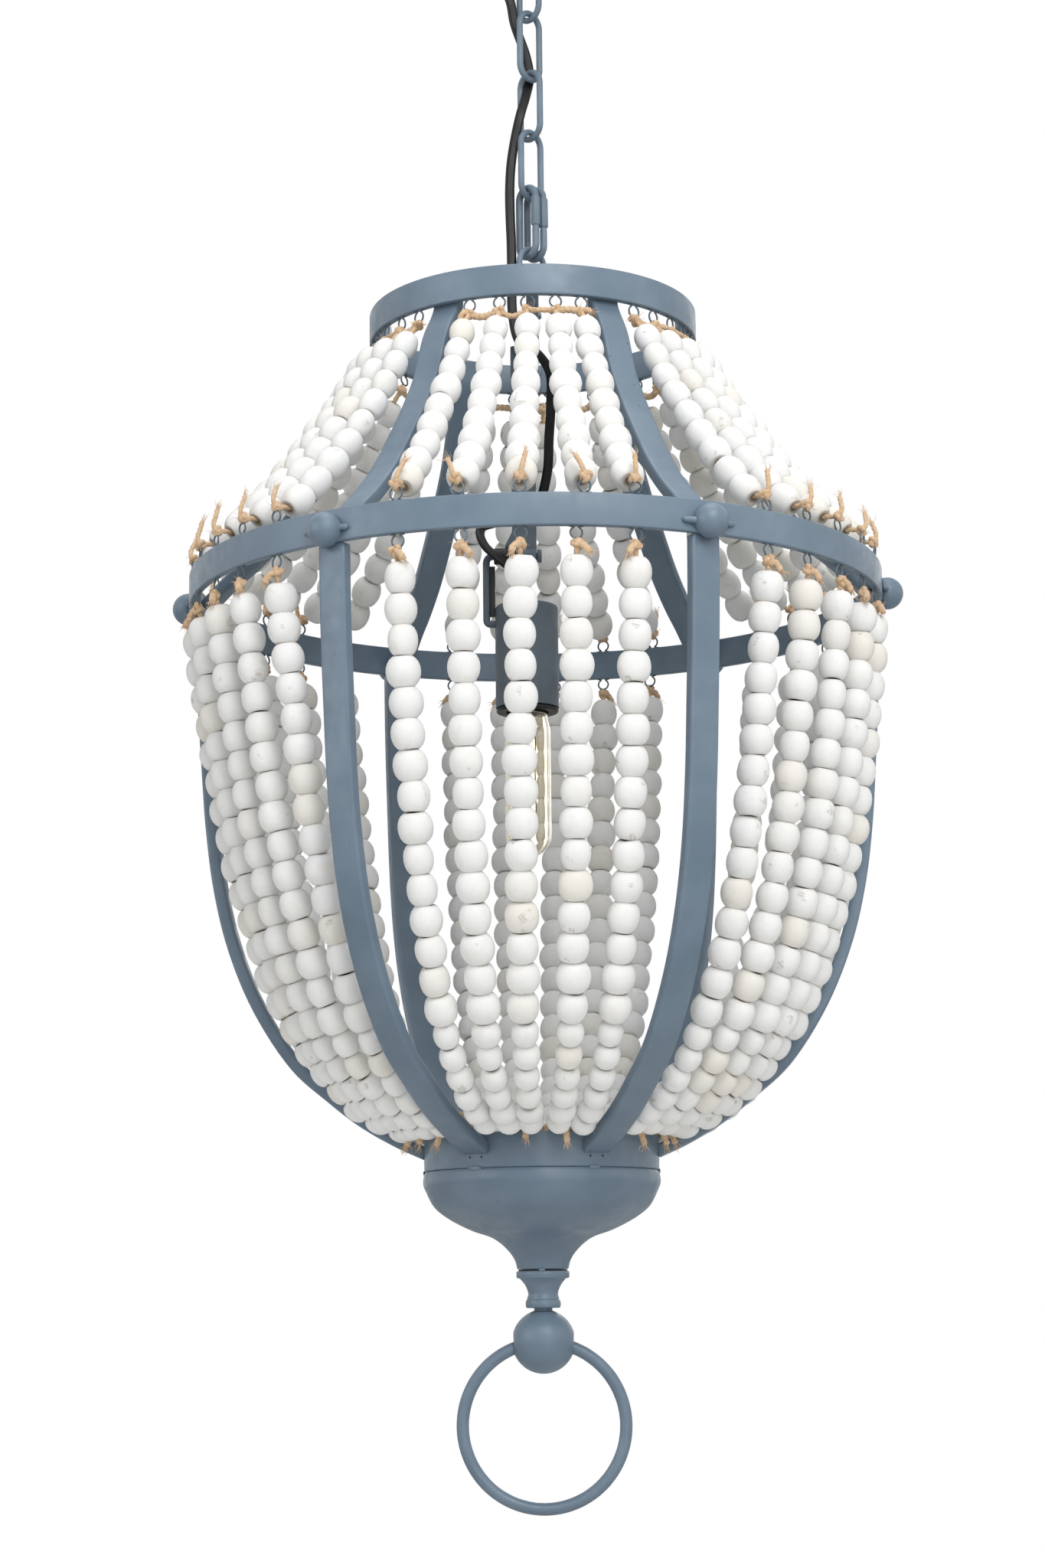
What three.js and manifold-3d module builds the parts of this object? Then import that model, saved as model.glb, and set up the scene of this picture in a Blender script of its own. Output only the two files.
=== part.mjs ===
// Beaded chandelier: a steel basket of six ribs and three hoops, strung with panels of beads, that hangs
// from a ceiling hook on a short chain and holds one lamp.
// Millimetres, +Z up. The origin is the centre of the ceiling bracket's top face.
// Azimuth 0 is the front, at -Y, and grows towards +X.

import * as THREE from "three";
import { mergeVertices } from "three/addons/utils/BufferGeometryUtils.js";
import Module from "manifold-3d";

const manifoldLibrary = await Module();
manifoldLibrary.setup();

// Fits
const seatGap = 0.3; // between two pieces that touch
const overrun = 2; // how far a cut runs past the face that it opens

// Ceiling bracket and canopy
const bracketLength = 92;
const bracketWidth = 22;
const bracketThickness = 3;
const bracketSlotLength = 14;
const bracketSlotWidth = 5;
const bracketSlotSpacing = 64;
const bracketNutAcross = 17;
const bracketNutHeight = 8;
const canopyRadius = 60;
const canopyDepth = 30;
const canopyWall = 1.5;
const canopyCornerRadius = 16;
const glandRadius = 6;
const glandHeight = 11;
const glandWall = 2;
const glandOffset = 26;

// Ceiling hook
const hookWire = 5;
const hookBendRadius = 11; // to the middle of the wire
const hookMouthAngle = 150; // degrees of arc past the crown that the hook's tip reaches
const hookShankRadius = 3;
const hookCollarRadius = 9;
const hookCollarHeight = 6;
const hookNeck = 7;

// Chain
const chainTurn = 45; // degrees between the picture plane and each link's plane
const chainLinkCount = 4;
const linkLength = 51;
const linkWidth = 22.5;
const linkWire = 4.2;
const quickLength = 52.4;
const quickWidth = 20;
const quickWire = 4.8;
const quickSpacing = 7.2; // middle to middle of the two quick links
const quickThreadGap = 6;
const quickThreadInset = 4; // how far the gap starts below the top of the straight leg
const sleeveLength = 20;
const sleeveRadius = 3.4;

// Eye bolt
const eyeWire = 4;
const eyeOuterDiameter = 26;
const eyeRise = 216.5; // the eye's centre above the waist ring's top edge
const eyeShankRadius = 3;
const eyeCollarRadius = 6;
const eyeCollarHeight = 3;
const eyeThreadDepth = 12;

// Hoops
const topRingRadius = 108;
const topRingRise = 160; // lower edge above the waist ring's top edge
const topRingHeight = 20;
const waistRingRadius = 225;
const waistRingHeight = 20;
const hoopThickness = 5;
const collarRadius = 74.3;
const collarHeight = 21.7;
const collarThickness = 3.5;
const collarDrop = 361; // top edge below the waist ring's top edge
const ribCount = 6;
const firstRibAzimuth = -33;

// Ribs
const ribWidth = 19;
const ribThickness = 8;
const lapHeight = 18; // how far an upper rib laps behind the top ring
const ribFootDrop = 13.5; // how far a lower rib's foot reaches down the collar
const knobRadius = 10.5;
const knobStandOut = 13.5; // from the waist ring's outer face to the knob's tip
const knobDrop = 13; // knob's centre below the waist ring's top edge

// Cross bar and hanger bar
const crossbarWidth = 8;
const crossbarHeight = 19;
const hangerWidth = 16;
const hangerThickness = 4;
const hangerOffset = -7;
const hangerFlare = 5;
const knuckleRadius = 5.2;
const knuckleLength = 13;
const knuckleRise = 17.5; // pivot above the waist ring's top edge

// Lamp
const lampOffset = -6;
const bailWire = 4.6;
const bailBendRadius = 5;
const bailHeadRadius = 4.4;
const bailHeadLength = 3;
const bailReach = 32; // the bail's leg stands this far left of the axis
const bailFootDrop = 28;
const bushRadius = 5.4;
const bushLength = 14.7;
const shellRadius = 20.5;
const shellTopDrop = 16;
const shellHeight = 68;
const shellWall = 1.3;
const shellCornerRadius = 3;
const insertBoreRadius = 13.7;
const insertWall = 2.2;
const insertRimRadius = 20.2;
const insertRimHeight = 2.6;
const bulbRadius = 14.7;
const bulbStandOut = 97.6; // how far the bulb reaches below the shell
const bulbGlassWall = 1;
const bulbGlassLength = 93;
const bulbCapRadius = 13;
const bulbCapLength = 26;
const bulbCapWall = 1;
const contactRadius = 5;
const contactLength = 4;
const filamentWire = 1.4;
const filamentLength = 62;
const filamentSpread = 9;
const stemRadius = 3;
const stemLength = 16;

// Cord
const cordDiameter = 4.4;
const cordHoleRadius = 3;

// Beads
const strandsPerPanel = 5;
const smallUpperDiameter = 16.2;
const smallUpperLength = 16.8;
const largeUpperDiameter = 18.8;
const largeUpperLength = 18.3;
const largeLowerDiameter = 19.8;
const largeLowerLength = 18.3;
const smallLowerDiameter = 16.4;
const smallLowerLength = 15.6;
const smallUpperBeads = 3;
const largeUpperBeads = 6;
const largeLowerBeads = 15;
const smallLowerBeads = 6;
const topStrandAngle = 9.9; // degrees between strands at the top ring
const waistStrandAngle = 9.4;
const collarStrandAngle = 9.6;
const beadSides = 3;
const neckShare = 0.56; // a joint's width as a share of the bead's
const twineRadius = 1.4;
const upperTwineDrop = 18; // bare twine between the top ring's edge and the first bead
const lowerTwineDrop = 15.2;

// Bowl, spool and finial
const bowlWall = 1.5;
const bowlHeight = 60.4;
const bowlNeckRadius = 16.1;
const spoolFlangeRadius = 16.7;
const spoolFlangeHeight = 4.6;
const spoolHeight = 22.1;
const spoolWaistRadius = 9.4;
const spoolWaistRise = 8.4;
const spoolConeRadius = 14.4;
const spoolLipHeight = 5.3;
const spoolFootRadius = 11.1;
const spoolSpigotRadius = 6;
const spoolSpigotHeight = 5;
const studRadius = 3.2;
const studDepth = 7;
const finialBallRadius = 20.2;
const studShow = 2; // bare stud between the spool's foot and the ball
const finialRingRadius = 55.3;
const finialRingWire = 7.8;
const finialHoleRadius = 6.6;

// Facets round each piece
const facets = {
  hoop: 48, smallHoop: 32, collar: 28, finialRing: 26, bowl: 24, canopy: 20, lamp: 16, ball: 14, link: 14,
  small: 8, wire: 6, filament: 4, slotEnd: 4,
};

// Steps along each bent wire, and on a knob from its base to its tip
const steps = { hook: 14, bail: 22, filament: 16, cord: 60, knob: 4 };

// Heights worked out from the ceiling down
const degrees = Math.PI / 180;
const canopyBottom = -canopyDepth;
const hookCentre = canopyBottom - seatGap - hookCollarHeight - hookNeck - hookBendRadius;
const hookCrown = hookCentre - hookBendRadius;
const linkDrop = linkLength - linkWire;
const linkCrownRadius = (linkWidth - linkWire) / 2;
const firstLinkTop = hookCrown + (hookWire + linkWire) / 2 + seatGap;
const linkPitch = linkDrop - linkWire - seatGap;
const linkTop = (index) => firstLinkTop - index * linkPitch;
const lastLinkBottom = linkTop(chainLinkCount - 1) - linkDrop;

// How far inside a crown's arc two side-by-side wires sit, measured from the arc's centre
function seatInCrown(crownRadius, crownWire) {
  const reach = crownRadius - (crownWire + quickWire) / 2 - seatGap;
  return Math.sqrt(reach ** 2 - (quickSpacing / 2) ** 2);
}
const quickTop = lastLinkBottom + linkCrownRadius - seatInCrown(linkCrownRadius, linkWire);
const quickDrop = quickLength - quickWire;
const quickBottom = quickTop - quickDrop;
const eyeRadius = (eyeOuterDiameter - eyeWire) / 2;
const eyeCentre = quickBottom - seatInCrown(eyeRadius, eyeWire);
const waistTop = eyeCentre - eyeRise;
const waistBottom = waistTop - waistRingHeight;
const topRingBottom = waistTop + topRingRise;
const collarTop = waistTop - collarDrop;
const collarBottom = collarTop - collarHeight;
const bowlTop = collarBottom - seatGap;
const bowlBottom = bowlTop - bowlHeight;
const spoolTop = bowlBottom - seatGap;
const spoolFoot = spoolTop - spoolHeight;
const ballCentre = spoolFoot - studShow - finialBallRadius;
const finialRingMiddle = finialRingRadius - finialRingWire / 2;

const paint = (color, roughness = 0.45, metalness = 0.2) =>
  new THREE.MeshStandardMaterial({ color, roughness, metalness });
const finishes = {
  frame: () => paint(0x8195a4),
  chain: () => paint(0x7d909c),
  lamp: () => paint(0x4b545c),
  black: () => paint(0x15171a, 0.5, 0),
  bead: () => paint(0xf0eeea, 0.85, 0),
  glass: () => new THREE.MeshStandardMaterial({ color: 0xf3ead8, roughness: 0.05, transparent: true, opacity: 0.3 }),
  steel: () => paint(0xb9bdc0, 0.3, 1),
  filament: () => paint(0xd9a441, 0.5, 0.3),
};

const chandelier = new THREE.Group();

function addPiece(name, geometry, finish, placement = {}) {
  const mesh = new THREE.Mesh(geometry, finishes[finish]());
  mesh.name = name;
  mesh.position.set(placement.x ?? 0, placement.y ?? 0, placement.z ?? 0);
  mesh.rotation.z = placement.turn ?? 0;
  chandelier.add(mesh);
  return mesh;
}

function solidFrom(geometry) {
  const bare = geometry.index ? geometry.toNonIndexed() : geometry.clone();
  bare.deleteAttribute("normal");
  bare.deleteAttribute("uv");
  const merged = mergeVertices(bare, seatGap / 1000);
  const mesh = new manifoldLibrary.Mesh({
    numProp: 3,
    vertProperties: new Float32Array(merged.attributes.position.array),
    triVerts: new Uint32Array(merged.index.array),
  });
  return new manifoldLibrary.Manifold(mesh);
}

function geometryFrom(solid) {
  const mesh = solid.getMesh();
  const geometry = new THREE.BufferGeometry();
  geometry.setAttribute("position", new THREE.BufferAttribute(new Float32Array(mesh.vertProperties), 3));
  geometry.setIndex(new THREE.BufferAttribute(new Uint32Array(mesh.triVerts), 1));
  geometry.computeVertexNormals();
  return geometry;
}

const join = (first, ...others) =>
  geometryFrom(others.reduce((solid, other) => solid.add(solidFrom(other)), solidFrom(first)));
const cut = (first, ...others) =>
  geometryFrom(others.reduce((solid, other) => solid.subtract(solidFrom(other)), solidFrom(first)));

// A closed profile of [radius, height] points turned about +Z
function turned(profile, segments) {
  const points = profile.map(([radius, height]) => new THREE.Vector2(radius, height));
  if (THREE.ShapeUtils.area(points) < 0) {
    points.reverse();
  }
  return new THREE.LatheGeometry(points, segments).rotateX(Math.PI / 2);
}

const tubeProfile = (outer, inner, low, high) =>
  [[inner, low], [outer, low], [outer, high], [inner, high], [inner, low]];

const rodProfile = (radius, low, high) => [[0, low], [radius, low], [radius, high], [0, high]];

// The circle through a polygon's corners, for a bore whose flats must clear the given radius
const aroundFlats = (radius, segments) => radius / Math.cos(Math.PI / segments);

// A flat face this wide sits inside a faceted hoop at this distance from the axis
function seatInside(outerRadius, thickness, segments, width) {
  const clear = (outerRadius - thickness) * Math.cos(Math.PI / segments) - seatGap;
  return Math.sqrt(clear ** 2 - (width / 2) ** 2);
}

// A planar curve of [x, z] stood upright in the XZ plane
class UprightCurve extends THREE.Curve {
  constructor(flat) {
    super();
    this.flat = flat;
  }

  getPoint(share) {
    const point = this.flat.getPoint(share);
    return new THREE.Vector3(point.x, 0, point.y);
  }
}

function sectionOfWire(diameter, sides) {
  const corners = [];
  for (let side = 0; side < sides; side += 1) {
    const angle = ((side + 0.5) / sides) * 2 * Math.PI;
    corners.push(new THREE.Vector2(Math.cos(angle), Math.sin(angle)).multiplyScalar(diameter / 2));
  }
  return new THREE.Shape(corners);
}

const wireAlong = (curve, diameter, sides, steps) =>
  new THREE.ExtrudeGeometry(sectionOfWire(diameter, sides), { steps, extrudePath: curve, bevelEnabled: false });

// Ceiling bracket: slotted bar with its nut welded underneath
function bracketGeometry() {
  const outline = new THREE.Shape();
  const endRadius = bracketWidth / 2;
  const straight = bracketLength / 2 - endRadius;
  outline.absarc(straight, 0, endRadius, -Math.PI / 2, Math.PI / 2, false);
  outline.absarc(-straight, 0, endRadius, Math.PI / 2, (3 * Math.PI) / 2, false);
  for (const side of [-1, 1]) {
    const slot = new THREE.Path();
    const half = (bracketSlotLength - bracketSlotWidth) / 2;
    const middle = (side * bracketSlotSpacing) / 2;
    slot.absarc(middle + half, 0, bracketSlotWidth / 2, -Math.PI / 2, Math.PI / 2, false);
    slot.absarc(middle - half, 0, bracketSlotWidth / 2, Math.PI / 2, (3 * Math.PI) / 2, false);
    outline.holes.push(slot);
  }
  const bar = new THREE.ExtrudeGeometry(outline, { depth: bracketThickness, bevelEnabled: false, curveSegments: facets.slotEnd });
  bar.translate(0, 0, -bracketThickness);
  const nutBottom = -bracketThickness - bracketNutHeight;
  const nut = turned(rodProfile(bracketNutAcross / 2, nutBottom, -bracketThickness / 2), 6);
  const thread = turned(
    rodProfile(aroundFlats(hookShankRadius + seatGap, facets.small), nutBottom - overrun, -bracketThickness),
    facets.small
  );
  return geometryFrom(solidFrom(bar).add(solidFrom(nut)).subtract(solidFrom(thread)));
}

// Spun cup that covers the bracket, with a centre hole and a cord hole
function canopyGeometry() {
  const inner = canopyRadius - canopyWall;
  const corner = canopyCornerRadius;
  const profile = [[hookShankRadius + seatGap + canopyWall, canopyBottom]];
  for (const share of [0, 0.5, 1]) {
    const angle = (share * Math.PI) / 2;
    profile.push([
      canopyRadius - corner + corner * Math.sin(angle),
      canopyBottom + corner - corner * Math.cos(angle),
    ]);
  }
  profile.push([canopyRadius, -seatGap], [inner, -seatGap]);
  for (const share of [1, 0.5, 0]) {
    const angle = (share * Math.PI) / 2;
    const radius = corner - canopyWall;
    profile.push([
      canopyRadius - corner + radius * Math.sin(angle),
      canopyBottom + corner - radius * Math.cos(angle),
    ]);
  }
  profile.push([profile[0][0], canopyBottom + canopyWall], profile[0]);
  const cordHole = turned(
    rodProfile(aroundFlats(glandRadius - glandWall, facets.small), -overrun, canopyWall + overrun),
    facets.small
  ).translate(-glandOffset, 0, canopyBottom);
  return cut(turned(profile, facets.canopy), cordHole);
}

function glandGeometry() {
  const bore = aroundFlats(cordDiameter / 2 + seatGap, facets.small);
  const top = canopyBottom - seatGap;
  const profile = [
    [bore, top - glandHeight],
    [glandRadius - glandWall, top - glandHeight],
    [glandRadius, top - glandHeight / 2],
    [glandRadius, top],
    [bore, top],
    [bore, top - glandHeight],
  ];
  return turned(profile, facets.small).translate(-glandOffset, 0, 0);
}

// Hook: threaded shank, collar that holds the canopy up, and a round bend with an open mouth
function hookGeometry() {
  const shankTop = -bracketThickness - seatGap;
  const collarTopHeight = canopyBottom - seatGap;
  const collarFoot = collarTopHeight - hookCollarHeight;
  const shank = turned(
    [
      [0, hookCentre + hookBendRadius - hookWire / 4],
      [hookShankRadius, hookCentre + hookBendRadius],
      [hookShankRadius, collarFoot],
      [hookCollarRadius, collarFoot],
      [hookCollarRadius, collarTopHeight],
      [hookShankRadius, collarTopHeight],
      [hookShankRadius, shankTop],
      [0, shankTop],
    ],
    facets.small
  );
  const bend = new THREE.Path();
  const tip = -Math.PI / 2 - hookMouthAngle * degrees;
  bend.absarc(0, 0, hookBendRadius, Math.PI / 2, tip, true);
  const hook = wireAlong(new UprightCurve(bend), hookWire, facets.wire, steps.hook).translate(0, 0, hookCentre);
  return join(hook, shank);
}

addPiece("mounting_bracket", bracketGeometry(), "steel");
addPiece("canopy", canopyGeometry(), "frame");
addPiece("canopy_gland", glandGeometry(), "black");
addPiece("ceiling_hook", hookGeometry(), "frame", { turn: chainTurn * degrees });

// An oval link: a wire ring whose two halves are drawn apart along Z, its crowns on the Z axis.
// facets.link is two more than a multiple of four, so a corner lies on each crown.
function linkGeometry(length, width, wire) {
  const ring = new THREE.TorusGeometry((width - wire) / 2, wire / 2, facets.wire, facets.link);
  ring.rotateZ(Math.PI / facets.link);
  const stretch = (length - width) / 2;
  const position = ring.attributes.position;
  for (let corner = 0; corner < position.count; corner += 1) {
    position.setY(corner, position.getY(corner) + Math.sign(position.getY(corner)) * stretch);
  }
  return ring.rotateX(Math.PI / 2);
}

const linkTurn = (index) => (index % 2 === 0 ? -chainTurn : chainTurn) * degrees;
for (let index = 0; index < chainLinkCount; index += 1) {
  const placement = { z: linkTop(index) - linkDrop / 2, turn: linkTurn(index) };
  addPiece(`chain_link_${index + 1}`, linkGeometry(linkLength, linkWidth, linkWire), "chain", placement);
}

// Quick links: each has a gap at the top of its right leg, which its screw sleeve closes
const quickMiddle = quickTop - quickDrop / 2;
const quickLeg = (quickWidth - quickWire) / 2;
const quickStraight = quickLength - quickWidth;
function quickLinkGeometry() {
  const gapTop = quickStraight / 2 - quickThreadInset;
  const cutter = new THREE.BoxGeometry(quickWire + overrun, quickWire + overrun, quickThreadGap);
  cutter.translate(quickLeg, 0, gapTop - quickThreadGap / 2);
  return cut(linkGeometry(quickLength, quickWidth, quickWire), cutter);
}

function sleeveGeometry() {
  const bore = aroundFlats(quickWire / 2 + seatGap, facets.small);
  const top = quickStraight / 2;
  return turned(tubeProfile(sleeveRadius, bore, top - sleeveLength, top), facets.small).translate(quickLeg, 0, 0);
}

const quickTurn = linkTurn(chainLinkCount);
for (const [side, name] of [[-1, "front"], [1, "back"]]) {
  const offset = new THREE.Vector2((side * quickSpacing) / 2, 0).rotateAround(
    new THREE.Vector2(),
    -quickTurn
  );
  const placement = { x: offset.x, y: offset.y, z: quickMiddle, turn: quickTurn };
  addPiece(`quick_link_${name}`, quickLinkGeometry(), "chain", placement);
  addPiece(`quick_sleeve_${name}`, sleeveGeometry(), "chain", placement);
}

// Eye bolt, screwed down into the cross bar
const crossbarBottom = topRingBottom + (topRingHeight - crossbarHeight) / 2;
const crossbarTop = crossbarBottom + crossbarHeight;
function eyeGeometry() {
  const ring = new THREE.TorusGeometry(eyeRadius, eyeWire / 2, facets.wire, facets.link).rotateX(Math.PI / 2);
  ring.translate(0, 0, eyeCentre);
  const collarFoot = crossbarTop + seatGap;
  const shank = turned(
    [
      [0, crossbarTop - eyeThreadDepth],
      [eyeShankRadius, crossbarTop - eyeThreadDepth],
      [eyeShankRadius, collarFoot],
      [eyeCollarRadius, collarFoot],
      [eyeCollarRadius, collarFoot + eyeCollarHeight],
      [eyeShankRadius, collarFoot + eyeCollarHeight],
      [eyeShankRadius, eyeCentre - eyeRadius],
      [0, eyeCentre - eyeRadius + eyeWire / 4],
    ],
    facets.small
  );
  return join(ring, shank);
}

function crossbarGeometry() {
  const half = seatInside(topRingRadius, hoopThickness, facets.smallHoop, crossbarWidth);
  const bar = new THREE.BoxGeometry(crossbarWidth, 2 * half, crossbarHeight);
  bar.translate(0, 0, crossbarBottom + crossbarHeight / 2);
  const bore = aroundFlats(eyeShankRadius + seatGap, facets.small);
  const floor = crossbarTop - eyeThreadDepth - seatGap;
  return cut(bar, turned(rodProfile(bore, floor, crossbarTop + overrun), facets.small));
}

const hoop = (radius, thickness, low, height, segments) =>
  turned(tubeProfile(radius, radius - thickness, low, low + height), segments);

addPiece("eye_bolt", eyeGeometry(), "frame", { turn: chainTurn * degrees });
addPiece("crossbar", crossbarGeometry(), "frame");
addPiece("top_ring", hoop(topRingRadius, hoopThickness, topRingBottom, topRingHeight, facets.smallHoop), "frame");
addPiece("waist_ring", hoop(waistRingRadius, hoopThickness, waistBottom, waistRingHeight, facets.hoop), "frame");
addPiece("bowl_collar", hoop(collarRadius, collarThickness, collarBottom, collarHeight, facets.collar), "frame");

// A bar bent to a side profile: the outer face's [radius, height] points, thickened inwards
function barGeometry(outerFace, endNormals) {
  const inner = outerFace.map(([radius, height], index) => {
    const before = outerFace[Math.max(index - 1, 0)];
    const after = outerFace[Math.min(index + 1, outerFace.length - 1)];
    const run = new THREE.Vector2(after[0] - before[0], after[1] - before[1]).normalize();
    const normal = endNormals[index] ?? [run.y, -run.x];
    return [radius + normal[0] * ribThickness, height + normal[1] * ribThickness];
  });
  const outline = new THREE.Shape([...outerFace, ...inner.reverse()].map(([x, y]) => new THREE.Vector2(x, y)));
  const bar = new THREE.ExtrudeGeometry(outline, { depth: ribWidth, bevelEnabled: false });
  bar.translate(0, 0, -ribWidth / 2);
  return bar.rotateX(Math.PI / 2);
}

// Upper rib: a straight lap behind the top ring, then a hollow flare down to the inside of the waist ring.
// Each pair is a share of the flare's spread and of its fall.
const upperFlareShares = [
  [0.105, 0.13], [0.19, 0.295], [0.293, 0.425], [0.404, 0.543], [0.575, 0.708],
  [0.72, 0.814], [0.857, 0.897], [1, 1],
];
const upperRibHead = seatInside(topRingRadius, hoopThickness, facets.smallHoop, ribWidth);
const upperRibFoot = seatInside(waistRingRadius, hoopThickness, facets.hoop, ribWidth);
const upperRibFootHeight = waistTop - waistRingHeight / 2;
function upperRibGeometry() {
  const lapBottom = topRingBottom - seatGap;
  const spread = upperRibFoot - upperRibHead;
  const fall = lapBottom - upperRibFootHeight;
  const face = [[upperRibHead, lapBottom + lapHeight], [upperRibHead, lapBottom]];
  for (const [out, down] of upperFlareShares) {
    face.push([upperRibHead + spread * out, lapBottom - fall * down]);
  }
  return barGeometry(face, { 0: [-1, 0], 1: [-1, 0], [face.length - 1]: [0, -1] });
}

// Lower rib: a deep belly from under the waist ring in to the collar's outer face
const lowerBellyShares = [
  [0, 0], [0.028, 0.132], [0.052, 0.285], [0.077, 0.398], [0.118, 0.511], [0.193, 0.62],
  [0.302, 0.731], [0.46, 0.841], [0.602, 0.897], [0.717, 0.953], [1, 1],
];
const lowerRibHead = waistRingRadius - hoopThickness / 2;
const lowerRibFoot = collarRadius + seatGap;
const lowerRibFootHeight = collarTop - ribFootDrop;
function lowerRibGeometry() {
  const head = waistBottom - seatGap;
  const face = lowerBellyShares.map(([inward, down]) => [
    lowerRibHead - (lowerRibHead - lowerRibFoot) * inward,
    head - (head - lowerRibFootHeight) * down,
  ]);
  return barGeometry(face, { 0: [-1, 0], [face.length - 1]: [0, 1] });
}

// Knob: a ball whose flat back is welded to the waist ring
function knobGeometry() {
  const backHeight = knobStandOut - knobRadius;
  const startAngle = -Math.asin(backHeight / knobRadius);
  const profile = [[0, 0]];
  for (let step = 0; step < steps.knob; step += 1) {
    const angle = startAngle + (step / steps.knob) * (Math.PI / 2 - startAngle);
    profile.push([knobRadius * Math.cos(angle), backHeight + knobRadius * Math.sin(angle)]);
  }
  profile.push([0, knobStandOut]);
  return turned(profile, facets.small);
}

// The turn about +Z that brings a piece's +X side to an azimuth
const outward = (azimuth) => azimuth * degrees - Math.PI / 2;
for (let index = 0; index < ribCount; index += 1) {
  const azimuth = firstRibAzimuth + (index * 360) / ribCount;
  addPiece(`upper_rib_${index + 1}`, upperRibGeometry(), "frame", { turn: outward(azimuth) });
  addPiece(`lower_rib_${index + 1}`, lowerRibGeometry(), "frame", { turn: outward(azimuth) });
  const knob = knobGeometry().rotateY(Math.PI / 2);
  knob.translate(waistRingRadius + seatGap, 0, waistTop - knobDrop);
  addPiece(`waist_knob_${index + 1}`, knob, "frame", { turn: outward(azimuth) });
}

// A panel of strands on one twine, which runs up one strand, across and down the next.
// Each ring of the tube is a small polygon; wide rings are bead middles and narrow rings are joints.
function strandStations(curve, twineDrop, beads) {
  const length = curve.getLength();
  const stations = [];
  const put = (travelled, radius, wide) => {
    const share = Math.min(travelled / length, 1);
    const point = curve.getPointAt(share);
    const tangent = curve.getTangentAt(share);
    stations.push({ share, point, tangent, radius, phase: wide ? 0 : 1 });
  };
  put(0, twineRadius, false);
  let travelled = twineDrop;
  beads.forEach((bead, index) => {
    const before = beads[index - 1] ?? bead;
    put(travelled, (Math.min(before.diameter, bead.diameter) / 2) * neckShare, false);
    put(travelled + bead.length / 2, bead.diameter / 2, true);
    travelled += bead.length;
  });
  put(travelled, (beads[beads.length - 1].diameter / 2) * neckShare, false);
  put(length, twineRadius, false);
  return stations;
}

function panelGeometry(stations, topAngle, footAngle, middleAzimuth) {
  const middleStrand = (strandsPerPanel - 1) / 2;
  const rings = [];
  for (let strand = 0; strand < strandsPerPanel; strand += 1) {
    const fromFoot = strand % 2 === 0 ? [...stations].reverse() : stations;
    fromFoot.forEach((station, index) => {
      const apart = topAngle + (footAngle - topAngle) * station.share;
      const azimuth = (middleAzimuth + (strand - middleStrand) * apart) * degrees;
      const radial = new THREE.Vector3(Math.sin(azimuth), -Math.cos(azimuth), 0);
      const sideways = new THREE.Vector3(Math.cos(azimuth), Math.sin(azimuth), 0);
      const along = radial.clone().multiplyScalar(station.tangent.x).setZ(station.tangent.y);
      const normal = sideways.clone().cross(along).normalize();
      if (strand % 2 === 0) {
        along.negate();
      }
      const first = index === 0 && strand > 0;
      const last = index === fromFoot.length - 1 && strand < strandsPerPanel - 1;
      const forward = first || last ? along.clone().add(sideways).normalize() : along;
      const centre = radial.clone().multiplyScalar(station.point.x).setZ(station.point.y);
      rings.push({ centre, normal, forward, radius: station.radius, phase: station.phase });
    });
  }
  return loftGeometry(rings);
}

// Joins rings of corners into one closed tube
function loftGeometry(rings) {
  const step = (2 * Math.PI) / beadSides;
  const widen = 1 / Math.sin(step);
  const corners = [];
  for (const ring of rings) {
    const across = ring.forward.clone().cross(ring.normal);
    for (let side = 0; side < beadSides; side += 1) {
      const angle = (side + ring.phase / 2) * step;
      const corner = ring.centre.clone();
      corner.addScaledVector(ring.normal, ring.radius * widen * Math.cos(angle));
      corner.addScaledVector(across, ring.radius * widen * Math.sin(angle));
      corners.push(corner);
    }
  }
  const index = [];
  const corner = (ring, side) => ring * beadSides + (side % beadSides);
  for (let side = 1; side < beadSides - 1; side += 1) {
    const end = rings.length - 1;
    index.push(corner(0, 0), corner(0, side + 1), corner(0, side));
    index.push(corner(end, 0), corner(end, side), corner(end, side + 1));
  }
  for (let ring = 0; ring < rings.length - 1; ring += 1) {
    const turnsBack = rings[ring].phase === 1 && rings[ring + 1].phase === 0;
    for (let side = 0; side < beadSides; side += 1) {
      const here = corner(ring, side);
      const hereNext = corner(ring, side + 1);
      const there = corner(ring + 1, side);
      const thereNext = corner(ring + 1, side + 1);
      if (turnsBack) {
        index.push(here, thereNext, there, here, hereNext, thereNext);
      } else {
        index.push(here, hereNext, there, there, hereNext, thereNext);
      }
    }
  }
  const geometry = new THREE.BufferGeometry().setFromPoints(corners);
  geometry.setIndex(index);
  geometry.computeVertexNormals();
  return geometry;
}

const repeated = (diameter, length, count) => Array.from({ length: count }, () => ({ diameter, length }));
const knotRise = seatGap + twineRadius / Math.sin((2 * Math.PI) / beadSides);
const hoopMiddle = (radius, thickness) => radius - thickness / 2;
const upperHead = new THREE.Vector2(hoopMiddle(topRingRadius, hoopThickness), topRingBottom - knotRise);
const upperFoot = new THREE.Vector2(hoopMiddle(waistRingRadius, hoopThickness), waistTop + knotRise);
const upperPullShares = [0.465, 0.68];
const upperPull = new THREE.Vector2(
  upperHead.x + (upperFoot.x - upperHead.x) * upperPullShares[0],
  upperHead.y + (upperFoot.y - upperHead.y) * upperPullShares[1]
);
const upperCurve = new THREE.QuadraticBezierCurve(upperHead, upperPull, upperFoot);

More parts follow.
